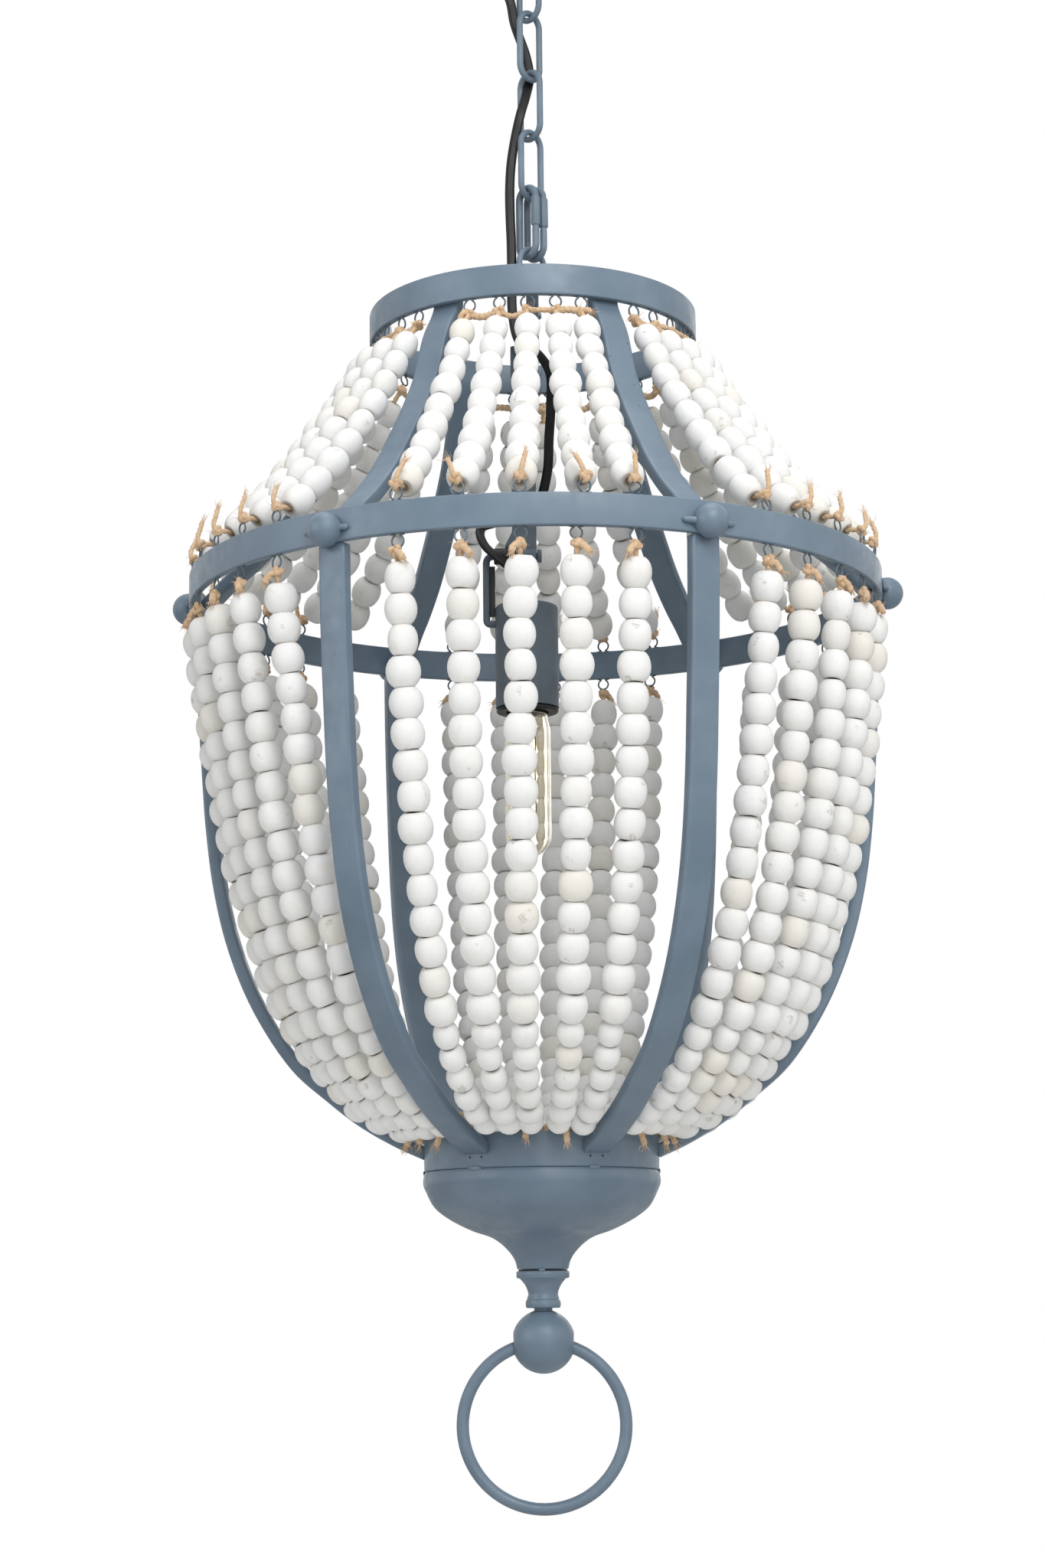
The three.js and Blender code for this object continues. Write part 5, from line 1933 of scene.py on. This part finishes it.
    def add_tail(self, surface: Surface, knot: np.ndarray, edge: Spot, end: StrandEnd) -> None:
        """Adds the loose end that leaves a knot.

        Args:
            surface: The surface that it is added to.
            knot: The knot's middle.
            edge: The place on the hoop's edge.
            end: Which end of the strand this is.
        """
        upper = self.node.startswith("upper")
        lean = self.chance.normal()
        side = 1 if lean > 0 else -1
        if upper and end is StrandEnd.FOOT:
            aside, tip = 0.0018 * lean, 0.0128 + 0.0035 * self.chance.random()
            thickness = 0.95
            shifts = (
                (0, 0.001, 0), (aside, 0.0018, 0.005), (1.7 * aside, 0.0006, 0.009),
                (2.8 * aside, -0.0014, tip),
            )
        elif not upper and end is StrandEnd.HEAD:
            thickness = 1.35
            shifts = (
                (0, 0.001, 0), (0.0035 * side, 0.003, 0.002),
                (side * (0.005 + 0.002 * abs(lean)), 0.0045, 0.0065),
            )
        elif not upper and abs(lean) > self.tight_lean:
            reach = 0.6 + 0.5 * min(abs(lean), 1.6)
            thickness = 1.2
            shifts = (
                (0, 0, 0), (0.0035 * side, 0.006 * reach, -0.003),
                (0.0045 * side, 0.0115 * reach, -0.006 - 0.009 * reach),
            )
        else:
            return
        points = [
            knot + edge.side * across + edge.out * out + edge.along * away for across, out, away in shifts
        ]
        self.cordage(surface, points, self.twine_radius * thickness, frayed=True)

    def add_runs(self, surface: Surface, knots: Sequence[np.ndarray]) -> None:
        """Adds the twine that runs from knot to knot under the top ring.

        Args:
            surface: The surface that it is added to.
            knots: The knots' middles in order.
        """
        for index, (start, end) in enumerate(zip(knots, knots[1:])):
            outer = index in (0, len(knots) - 2)
            radius = self.twine_radius * (1.4 if outer else 1.1)
            sag = 0.005 * self.chance.uniform(-0.35, 1.0)
            out = unit(np.array([start[0] + end[0], start[1] + end[1], 0.0]))
            centre = (start + end) / 2 - UP * sag + out * 0.0018
            self.cordage(surface, [start, centre, end], radius)
            if outer:
                knot, other = (start, end) if index == 0 else (end, start)
                side = unit(knot - other)
                rise = 0.003 * self.chance.normal()
                points = [
                    knot, knot + side * 0.003 + UP * 0.001 + out * 0.002,
                    knot + side * 0.006 + UP * rise + out * 0.003,
                ]
                self.cordage(surface, points, self.twine_radius * 1.2, frayed=True)


@dataclass
class Finial(SubAssembly):
    """The bowl under the collar, the spool, the drilled ball and the ring that swings in it."""

    bowl_wall: float = 0.0015
    rim_chamfer: float = 0.0006
    tack_width: float = 0.0042
    tack_height: float = 0.0016
    tack_depth: float = 0.0008
    tack_scatter: float = 0.0009
    bridge_half: tuple[float, float] = (0.0022, 0.0012)
    bridge_offset: float = 0.0006
    lump_rows: int = 9
    lump_sides: int = 14
    pit_radius: float = 0.0007
    pit_depth: float = 0.0001
    pit_spacing: float = 0.0085
    pit_rise: float = 0.0065
    slit: float = 0.0011
    slit_shade: float = 0.0003
    boss_radius: float = 0.0151
    neck_radius: float = 0.0161
    spigot_radius: float = 0.006
    spigot_height: float = 0.005
    flange_radius: float = 0.0167
    flange_height: float = 0.0056
    spool_height: float = 0.0239
    waist_radius: float = 0.0094
    waist_rise: float = 0.0088
    foot_radius: float = 0.0111
    lip_height: float = 0.0053
    stud_radius: float = 0.0058
    ring_wire: float = 0.0078
    ring_steps: int = 144
    weld_ridge: tuple[float, float, float] = (0.012, -42.0, 3.0)
    weld_groove: tuple[float, float, float] = (-0.02, -40.0, 1.2)
    hole_radius: float = 0.0066
    bowl_shares: tuple[tuple[float, float], ...] = (
        (1.0, 0.0), (1.01, 0.115), (0.985, 0.2), (0.92, 0.35), (0.81, 0.465), (0.6, 0.6), (0.42, 0.68),
        (0.31, 0.785), (0.24, 0.9),
    )

    def build(self) -> None:
        """Makes the pieces under the collar."""
        for name, shape, finish, body, nodes in (
            ("bowl_dish", self.bowl, FRAME_PAINT, Body.FRAME, ["bowl"]),
            ("turned_spool", self.spool, FRAME_PAINT, Body.FRAME, ["spool"]),
            ("drilled_ball", self.ball, FRAME_PAINT, Body.FRAME, ["finial_ball"]),
            ("swing_ring", self.ring, FRAME_PAINT, Body.FINIAL_LOOP, ["finial_ring"]),
            ("seam_tacks", self.tacks, FRAME_PAINT, Body.FRAME, []),
            # The weld pit dots and the slit band are painted shade.
            ("weld_pits", self.pits, PIT_SHADE, Body.FRAME, []),
            ("slit_shade", self.slit_band, PIT_SHADE, Body.FRAME, []),
        ):
            self.finish_piece(name, shape(), finish, body, nodes)

    def bowl(self) -> Surface:
        """The spun ogee dish, open above.

        Returns:
            Its surface.
        """
        top, bottom = high("bowl").z, low("bowl").z
        radius = high("bowl_collar").x
        outer = [(radius * out, top - (top - bottom) * down) for out, down in self.bowl_shares]
        outer.append((self.neck_radius, bottom))
        face = smooth_path(outer, 6)
        run = unit(np.gradient(face, axis=0))
        face[0] = (face[0][0] - self.rim_chamfer, top)
        inner = face + np.stack([run[:, 1], -run[:, 0]], axis=1) * self.bowl_wall
        bore = self.spigot_radius + SEAT_GAP
        inner = inner[(inner[:, 1] > bottom + self.bowl_wall) & (inner[:, 0] > bore)]
        profile = [*face, (bore, bottom), (bore, bottom + self.bowl_wall), *inner[::-1]]
        return Surface().add(turned(profile, self.ring_steps), closed=True)

    def spool(self) -> Surface:
        """The turned spool: spigot, flange, hollow cone, waist, lip and stud.

        Returns:
            Its surface.
        """
        top = low("bowl").z - SEAT_GAP
        foot = top - self.spool_height
        cone = top - self.flange_height
        waist = foot + self.waist_rise
        hollow = smooth_path(
            [(self.flange_radius * 0.87, cone), (0.0112, cone - 0.0042), (self.waist_radius, waist),
             (self.waist_radius + 0.0007, foot + self.lip_height + 0.0008)], 6,
        )
        half_lip = self.lip_height / 2
        curl = 0.001
        round_lip = [
            (self.foot_radius - curl + curl * math.cos(angle), foot + half_lip + half_lip * math.sin(angle))
            for angle in np.linspace(math.pi / 2, -math.pi / 2, 9)
        ]
        flange, slit = self.flange_radius, top - self.slit
        profile = [
            (0, top + self.spigot_height), (self.spigot_radius, top + self.spigot_height),
            (self.spigot_radius, top), (self.boss_radius, top), (self.boss_radius, slit),
            (flange - 0.0004, slit), (flange, slit - 0.0005), (flange, cone + 0.001),
            (flange - 0.0006, cone + 0.0002), *hollow, *round_lip,
            (self.stud_radius, foot), (self.stud_radius, low("spool").z), (0, low("spool").z),
        ]
        return Surface().add(turned(profile, 64), capped=False)

    def blob(self, centre: Point, half: Point) -> np.ndarray:
        """The rings of a small rounded lump.

        Args:
            centre: Its middle.
            half: Its half sizes along X, Y and Z.

        Returns:
            Its rings.
        """
        profile = [(math.sin(a), -math.cos(a)) for a in np.linspace(0.0, math.pi, self.lump_rows)]
        return turned(profile, self.lump_sides) * np.array(half) + np.array(centre, float)

    def tacks(self) -> Surface:
        """The weld tacks that bridge the seam under each rib and the slit over the spool.

        Returns:
            Its surface.
        """
        seam, radius = high("bowl").z, high("bowl_collar").x
        surface = Surface()
        chance = np.random.default_rng(77)
        for index in range(RIB_COUNT):
            wide = self.tack_width * (0.8 + 0.5 * chance.random())
            place = (self.tack_scatter * chance.normal(), -radius, seam)
            lump = self.blob(place, (wide, self.tack_depth, self.tack_height))
            surface.add(spun(lump, rib_azimuth(index)), capped=False)
        slit = low("bowl").z - self.slit / 2
        for side in (-1, 1):
            place = (self.bridge_offset * side, self.neck_radius * side, slit)
            surface.add(self.blob(place, (*self.bridge_half, self.slit)), capped=False)
        return surface

    def pits(self) -> Surface:
        """Small dark dots of painted shade for the weld pits on the collar, two under each rib's foot.

        Returns:
            Its surface.
        """
        level, radius = low("bowl_collar").z + self.pit_rise, high("bowl_collar").x
        half = (self.pit_radius, self.pit_depth, self.pit_radius * 1.3)
        surface = Surface()
        for index in range(RIB_COUNT):
            for side in (-0.5, 0.5):
                across = side * self.pit_spacing
                pit = self.blob((across, -math.sqrt(radius ** 2 - across ** 2), level), half)
                surface.add(spun(pit, rib_azimuth(index)), capped=False)
        return surface

    def slit_band(self) -> Surface:
        """A dark band of painted shade inside the slit over the spool.

        Returns:
            Its surface.
        """
        top = low("bowl").z - SEAT_GAP
        outline = rectangle(self.boss_radius, top, self.boss_radius + self.slit_shade, top - self.slit)
        return Surface().add(turned(outline, 64), closed=True)

    def ball(self) -> bpy.types.Object:
        """The ball, drilled across along the ring's own curve.

        Returns:
            The drilled ball.
        """
        bottom, top = low("finial_ball").z, high("finial_ball").z
        radius = (top - bottom) / 2
        centre = (top + bottom) / 2
        angles = np.linspace(0, math.pi, 49)
        profile = [(radius * math.sin(angle), centre - radius * math.cos(angle)) for angle in angles]
        ball = Surface().add(turned(profile, 96), capped=False).to_object("drilled_ball", sharp=30)
        middle_radius = high("finial_ring").x - self.ring_wire / 2
        rise = self.hole_radius - self.ring_wire / 2 - SEAT_GAP
        path = self.ring_path(middle_radius, centre + rise - middle_radius)
        bore = sweep(path, circle(self.hole_radius, 32), wide=(0, 1, 0), closed=True)
        tool = Surface().add(bore, closed=True).to_object("ball_cutter")
        cut = ball.modifiers.new("hole", "BOOLEAN")
        cut.object = tool
        cut.solver = "EXACT"
        bpy.context.view_layer.update()
        drilled = bpy.data.meshes.new_from_object(ball.evaluated_get(bpy.context.evaluated_depsgraph_get()))
        ball.modifiers.clear()
        ball.data = drilled
        bpy.data.objects.remove(tool)
        return ball

    def ring_path(self, radius: float, centre: float) -> np.ndarray:
        """A circle of this radius and centre height in the picture's plane."""
        return standing_circle(radius, centre, np.linspace(0, 2 * math.pi, self.ring_steps, endpoint=False))

    def ring(self) -> Surface:
        """The wire ring, with a low weld where it was closed.

        Returns:
            Its surface.
        """
        radius = high("finial_ring").x - self.ring_wire / 2
        centre = low("finial_ring").z + self.ring_wire / 2 + radius
        path = self.ring_path(radius, centre)
        angles = np.degrees(np.arctan2(path[:, 2] - centre, path[:, 0]))
        sizes = np.ones(len(path))
        for rise, place, spread in (self.weld_ridge, self.weld_groove):
            sizes += rise * np.exp(-(((angles - place) / spread) ** 2))
        section = circle(self.ring_wire / 2, 24)
        return Surface().add(sweep(path, section, (0, 1, 0), True, sizes), closed=True)


@dataclass
class LampSet(SubAssembly):
    """Hanger bar, bail with its bush and a black strip of painted shade along its leg, lamp holder, socket
    insert and the tube bulb.
    """

    knuckle_rise: float = 0.0175
    hanger_offset: float = -0.007
    hanger_width: float = 0.016
    hanger_thickness: float = 0.004
    hanger_flare: float = 0.005
    hanger_corner: float = 0.0014
    hanger_edge: float = 0.0004
    knuckle_radius: float = 0.0052
    knuckle_length: float = 0.013
    knuckle_corner: float = 0.0005
    bail_wire: float = 0.0046
    bail_step: float = 0.002
    bail_reach: float = 0.032
    bail_bend: float = 0.005
    bail_foot_drop: float = 0.028
    bail_head_radius: float = 0.0044
    bail_head_length: float = 0.003
    bail_head_corner: float = 0.0009
    # The black strip of painted shade along the bail's leg.
    shade_strip_width: float = 0.0038
    shade_strip_depth: float = 0.0028
    shade_strip_sink: float = 0.0004
    shade_strip_gap: float = 0.002
    shade_strip_corner: float = 0.001
    bush_length: float = 0.0147
    bush_radius: float = 0.0054
    bush_corner: float = 0.0016
    lamp_offset: float = LAMP_OFFSET
    shell_wall: float = 0.0013
    shell_corner: float = 0.003
    cord_hole_radius: float = 0.003
    insert_bore: float = 0.0137
    insert_wall: float = 0.0022
    rim_radius: float = 0.0202
    rim_height: float = 0.0026
    glass_wall: float = 0.001
    cap_radius: float = 0.013
    cap_wall: float = 0.001
    contact_radius: float = 0.005
    contact_length: float = 0.004
    thread_pitch: float = 0.0036
    thread_depth: float = 0.0009
    lead_spread: float = 0.0045
    lead_radius: float = 0.0004
    stem_length: float = 0.017
    stem_radius: float = 0.003
    stem_foot_radius: float = 0.0108

    def build(self) -> None:
        """Makes the lamp's pieces."""
        for name, shape, finish, body, nodes in (
            ("hanger", self.hanger, LAMP_PAINT, Body.FRAME, ["hanger_bar"]),
            ("bail_rod", self.bail, LAMP_PAINT, Body.LAMP, ["lamp_bail"]),
            ("rubber_bush", self.bush, BLACK_PLASTIC, Body.LAMP, ["bail_bush"]),
            # The black strip along the bail's leg is painted shade, in the black moulding.
            ("bail_lining", self.shade_strip, BLACK_PLASTIC, Body.LAMP, []),
            ("lamp_shell", self.shell, LAMP_PAINT, Body.LAMP, ["lamp_holder"]),
            ("socket", self.insert, BLACK_PLASTIC, Body.LAMP, ["socket_insert"]),
            ("screw_cap", self.cap, CAP_METAL, Body.BULB, ["bulb_cap"]),
            ("glass_tube", self.glass, GLASS, Body.BULB, ["bulb_glass"]),
            ("filament_hairpin", self.filament, FILAMENT, Body.BULB, ["bulb_filament"]),
        ):
            self.finish_piece(name, shape(), finish, body, nodes)

    @property
    def pivot(self) -> float:
        """The height of the knuckle's axis, which the bail turns about."""
        return WAIST_TOP + self.knuckle_rise

    @property
    def hanger_right(self) -> float:
        """The right edge of the hanger bar and of its knuckle."""
        return self.hanger_offset + self.hanger_width / 2

    def lathed(self, profile: Outline, segments: int, closed: bool = False) -> Surface:
        """A piece turned about the lamp's own upright axis.

        Args:
            profile: Points of (radius, height).
            segments: How many points each ring has.
            closed: Whether the last ring joins the first.

        Returns:
            Its surface.
        """
        rings = turned(profile, segments, centre=(self.lamp_offset, 0, 0))
        return Surface().add(rings, closed=closed, capped=False)

    def on_pivot(self, profile: Outline, segments: int) -> np.ndarray:
        """The rings of a profile of (radius, place) turned about the knuckle's axis."""
        return turned(profile, segments, Axis.X, (0, 0, self.pivot))

    def hanger(self) -> Surface:
        """The flat strip with a flared foot, and the knuckle at its lower right.

        Returns:
            Its surface.
        """
        pivot, right = self.pivot, self.hanger_right
        left = self.hanger_offset - self.hanger_width / 2
        knuckle_left = right - self.knuckle_length
        top = low("crossbar").z - SEAT_GAP
        flare = pivot + self.bush_radius + SEAT_GAP
        outline = softened([
            (right, top), (left, top), (left, flare + 2 * self.hanger_flare),
            (left - self.hanger_flare, flare), (knuckle_left, flare), (knuckle_left, pivot), (right, pivot),
        ], self.hanger_corner)
        half, edge = self.hanger_thickness / 2, self.hanger_edge
        centre = np.array([(left + right) / 2, (top + pivot) / 2])
        rings = []
        for depth, inset in ((-half, edge), (-half + edge, 0.0), (half - edge, 0.0), (half, edge)):
            ring = []
            for x, z in outline:
                inward = unit(centre - np.array([x, z])) * inset
                ring.append((x + inward[0], depth, z + inward[1]))
            rings.append(ring)
        profile = rectangle(self.bail_wire / 2 + SEAT_GAP, knuckle_left, self.knuckle_radius, right)
        knuckle = self.on_pivot(softened(profile, self.knuckle_corner, 3), 32)
        return Surface().add(np.array(rings)).add(knuckle, closed=True)

    def bail(self) -> Surface:
        """The rod through the knuckle, bent down and in again to the holder's side.

        Returns:
            Its surface.
        """
        head = self.hanger_right + SEAT_GAP
        end, reach = head + self.bail_head_length, -self.bail_reach
        foot = WAIST_TOP - self.bail_foot_drop
        corners = [
            (head + self.bail_head_length / 2, self.pivot), (reach, self.pivot), (reach, foot),
            (low("lamp_holder").x + self.shell_wall, foot),
        ]
        path = np.array([(x, 0.0, z) for x, z in softened(corners, self.bail_bend, 10, closed=False)])
        dense = []
        for here, there in zip(path, path[1:]):
            steps = max(1, int(math.dist(here, there) / self.bail_step))
            dense += [here + (there - here) * step / steps for step in range(steps)]
        rod = sweep(np.array([*dense, path[-1]]), circle(self.bail_wire / 2, 20), wide=(0, 1, 0))
        profile = [(0, head), (self.bail_head_radius, head), (self.bail_head_radius, end), (0, end)]
        head_rings = self.on_pivot(softened(profile, self.bail_head_corner, 4, closed=False), 28)
        return Surface().add(rod).add(head_rings, capped=False)

    def shade_strip(self) -> Surface:
        """A black strip of painted shade along the inner side of the bail's leg.

        Returns:
            Its surface.
        """
        left = -self.bail_reach + self.bail_wire / 2 - self.shade_strip_sink
        top = self.pivot - self.bail_bend - self.shade_strip_gap
        bottom = WAIST_TOP - self.bail_foot_drop + self.bail_bend
        half = self.shade_strip_depth / 2
        outline = softened(rectangle(left, -half, left + self.shade_strip_width, half), self.shade_strip_corner)
        levels = np.linspace(bottom, top, 12)
        return Surface().add(np.array([[(x, y, z) for x, y in outline] for z in levels]))

    def bush(self) -> Surface:
        """The black bush on the bail, with rounded ends.

        Returns:
            Its surface.
        """
        right = self.hanger_right - self.knuckle_length - SEAT_GAP
        profile = rectangle(self.bail_wire / 2 + SEAT_GAP, right - self.bush_length, self.bush_radius, right)
        return Surface().add(self.on_pivot(softened(profile, self.bush_corner, 5), 32), closed=True)

    def shell(self) -> Surface:
        """The lamp holder's drawn shell, its side left bare, its foot cut square.

        Returns:
            Its surface.
        """
        top, foot = high("lamp_holder").z, low("lamp_holder").z
        radius = high("lamp_holder").x - self.lamp_offset
        inner = radius - self.shell_wall
        roof = top - self.shell_wall
        outside = [(self.cord_hole_radius, top), (radius, top), (radius, foot)]
        inside = [(inner, foot), (inner, roof), (self.cord_hole_radius, roof)]
        outside, inside = (softened(side, self.shell_corner, 8, closed=False) for side in (outside, inside))
        return self.lathed(outside + inside, 72, closed=True)

    def insert(self) -> Surface:
        """The black socket insert, with its flared rim under the shell.

        Returns:
            Its surface.
        """
        top, foot = high("socket_insert").z, low("socket_insert").z
        barrel = self.insert_bore + self.insert_wall
        rim_top = foot + self.rim_height
        skirt = high("lamp_holder").x - self.lamp_offset - self.shell_wall - SEAT_GAP
        rim, roof = self.rim_radius, top - self.insert_wall
        profile = [
            (0, top), (0, roof), (self.insert_bore, roof), (self.insert_bore, foot),
            (rim - 0.0006, foot), (rim, foot + 0.0008), (rim - 0.0002, rim_top - 0.0008),
            (rim - self.rim_height / 2, rim_top), (skirt, rim_top), (skirt, rim_top + self.rim_height),
            (barrel, rim_top + 2 * self.rim_height), (barrel, top), (0, top),
        ]
        return self.lathed(profile, 64)

    def cap(self) -> Surface:
        """The bulb's screw cap, with its rolled thread and the contact on its shoulder.

        Returns:
            Its surface.
        """
        bottom, top = low("bulb_cap").z, high("bulb_cap").z - self.contact_length
        radius, contact = self.cap_radius, self.contact_radius
        inner, tip = radius - self.cap_wall, top + self.contact_length
        profile = [(inner, bottom), (radius - 0.0002, bottom)]
        for level in np.linspace(bottom + 0.0012, top - 0.003, 60):
            wave = 0.5 - 0.5 * math.cos(2 * math.pi * (level - bottom) / self.thread_pitch)
            profile.append((radius - self.thread_depth * wave, level))
        profile += [
            (radius - 0.0016, top - 0.0014), (contact, top), (contact, tip - 0.0006),
            (contact - 0.0008, tip), (0, tip), (0, top - 2 * self.cap_wall),
            (inner - 0.001, top - 0.003), (inner - 0.001, bottom + 0.001), (inner, bottom),
        ]
        return self.lathed(profile, 56)

    def glass(self) -> Surface:
        """The clear tube with a round foot, open at its neck.

        Returns:
            Its surface.
        """
        top, foot = high("bulb_glass").z, low("bulb_glass").z
        radius = high("bulb_glass").x - self.lamp_offset
        neck = self.cap_radius
        shoulder = [(neck, top), (neck, top - radius * 0.18), (radius, top - radius * 0.62)]
        outer = [tuple(point) for point in smooth_path(shoulder, 6)]
        outer += [(radius, top - (top - foot) * share) for share in (0.25, 0.5, 0.75)]
        dome = foot + radius
        dome_angles = np.linspace(0, math.pi / 2, 17)
        outer += [(radius * math.cos(angle), dome - radius * math.sin(angle)) for angle in dome_angles]
        share = 1 - self.glass_wall / radius
        inner = [(r * share, dome + (z - dome) * share if z < dome else z) for r, z in outer]
        neck_rings = turned([outer[0], inner[0]], 64, centre=(self.lamp_offset, 0, 0))
        return self.lathed(outer + inner[::-1], 64).add(neck_rings, capped=False)

    def filament(self) -> Surface:
        """The glass stem's wires: a long hairpin filament on two leads.

        Returns:
            Its surface.
        """
        bottom, top = low("bulb_filament").z, high("bulb_filament").z
        half, stem = self.lead_spread, top - self.stem_length
        side = [
            (half / 2, stem + 0.004), (half, stem - half), (half, stem - 0.03), (half, bottom + 0.0075),
            (half * 0.7, bottom + 0.0025),
        ]
        outline = [(-x, z) for x, z in side] + [(0.0, bottom + 0.0008)] + side[::-1]
        flat = smooth_path(outline, 8)
        path = np.stack([flat[:, 0] + self.lamp_offset, np.zeros(len(flat)), flat[:, 1]], axis=1)
        leads = sweep(path, circle(self.lead_radius, 8), wide=(0, 1, 0))
        neck, foot = self.stem_radius, self.stem_foot_radius
        profile = [
            (0, stem), (0.0022, stem + 0.0006), (neck, stem + 0.006), (neck, top - 0.003),
            (foot, top - 0.001), (foot, top), (0, top),
        ]
        glass_stem = turned(profile, 32, centre=(self.lamp_offset, 0, 0))
        return Surface().add(leads).add(glass_stem, capped=False)


@dataclass
class BeadPanels:
    """The twelve panels of strands: six above the waist ring and six below it."""

    hoop_thickness: float = HOOP_THICKNESS
    collar_thickness: float = COLLAR_THICKNESS
    knot_rise: float = 0.00192
    top_angle: float = 9.9
    waist_angle: float = 9.4
    collar_angle: float = 9.6
    upper_twine_drop: float = 0.0184
    lower_twine_drop: float = 0.0152
    upper_pull_shares: tuple[float, float] = (0.465, 0.68)
    lower_pull_shares: tuple[tuple[float, float], ...] = ((0.11, 0.439), (0.31, 0.979))
    belly_shifts: tuple[float, ...] = (0.0, 0.004, 0.0025, 0.0, -0.002, -0.003)
    upper_front_shifts: tuple[tuple[float, ...], ...] = (
        (0.75, 1.6, 1.4, 1.0, 0.1), (0.35, 0.7, 0.8, 1.15, -0.45),
    )
    lower_front_shifts: tuple[tuple[float, ...], ...] = (
        (0.6, 1.25, 0.85, -0.2, -0.45), (0.3, 0.0, -0.9, 0.3, 0.3),
    )
    upper_runs: tuple[BeadRun, ...] = (
        BeadRun(0.0164, 0.0170, 3), BeadRun(0.0186, 0.0186, 3), BeadRun(0.0196, 0.0195, 3),
    )
    lower_runs: tuple[BeadRun, ...] = (BeadRun(0.0198, 0.0183, 15), BeadRun(0.0164, 0.0156, 6))

    def build(self) -> None:
        """Makes all the panels."""
        top = high("top_ring").x - self.hoop_thickness / 2
        waist = high("waist_ring").x - self.hoop_thickness / 2
        collar = high("bowl_collar").x - self.collar_thickness / 2
        under_top, over_waist = low("top_ring").z, high("waist_ring").z
        under_waist, over_collar = low("waist_ring").z, high("bowl_collar").z
        head, foot = (top, under_top - self.knot_rise), (waist, over_waist + self.knot_rise)
        across, down = self.upper_pull_shares
        pull = (head[0] + (foot[0] - head[0]) * across, head[1] + (foot[1] - head[1]) * down)
        upper_curve = (head, pull, foot)
        head, foot = (waist, under_waist - self.knot_rise), (collar, over_collar + self.knot_rise)
        for index in range(RIB_COUNT):
            pulls = tuple(
                (head[0] + (foot[0] - head[0]) * across + self.belly_shifts[index] / PULL_SHARE,
                 head[1] + (foot[1] - head[1]) * down)
                for across, down in self.lower_pull_shares
            )
            lower_curve = (head, *pulls, foot)
            azimuth = rib_azimuth(index + 0.5)
            upper_shifts = self.upper_front_shifts if index == 0 else ((), ())
            lower_shifts = self.lower_front_shifts if index == 0 else ((), ())
            StrandPanel(
                node=f"upper_strands_{index + 1}", azimuth=azimuth, curve=upper_curve, runs=self.upper_runs,
                twine_drop=self.upper_twine_drop, head_angle=self.top_angle, foot_angle=self.waist_angle,
                head_edge=under_top, foot_edge=over_waist, head_radius=top, foot_radius=waist,
                seed=100 + index, head_shifts=upper_shifts[0], foot_shifts=upper_shifts[1],
            ).build()
            StrandPanel(
                node=f"lower_strands_{index + 1}", azimuth=azimuth, curve=lower_curve, runs=self.lower_runs,
                twine_drop=self.lower_twine_drop, head_angle=self.waist_angle, foot_angle=self.collar_angle,
                head_edge=under_waist, foot_edge=over_collar, head_radius=waist, foot_radius=collar,
                seed=200 + index, head_shifts=lower_shifts[0], foot_shifts=lower_shifts[1],
            ).build()


def main() -> None:
    """Builds the chandelier and its studio in order."""
    logging.basicConfig(level=logging.INFO, format="%(name)s %(message)s")
    PhotoCamera().build()
    bpy.context.scene.view_settings.view_transform = "Standard"
    PowerCord().build()
    Studio().build()
    CeilingSet().build()
    ChainSet().build()
    Basket().build()
    BeadPanels().build()
    Finial().build()
    LampSet().build()


if __name__ == "__main__":
    main()
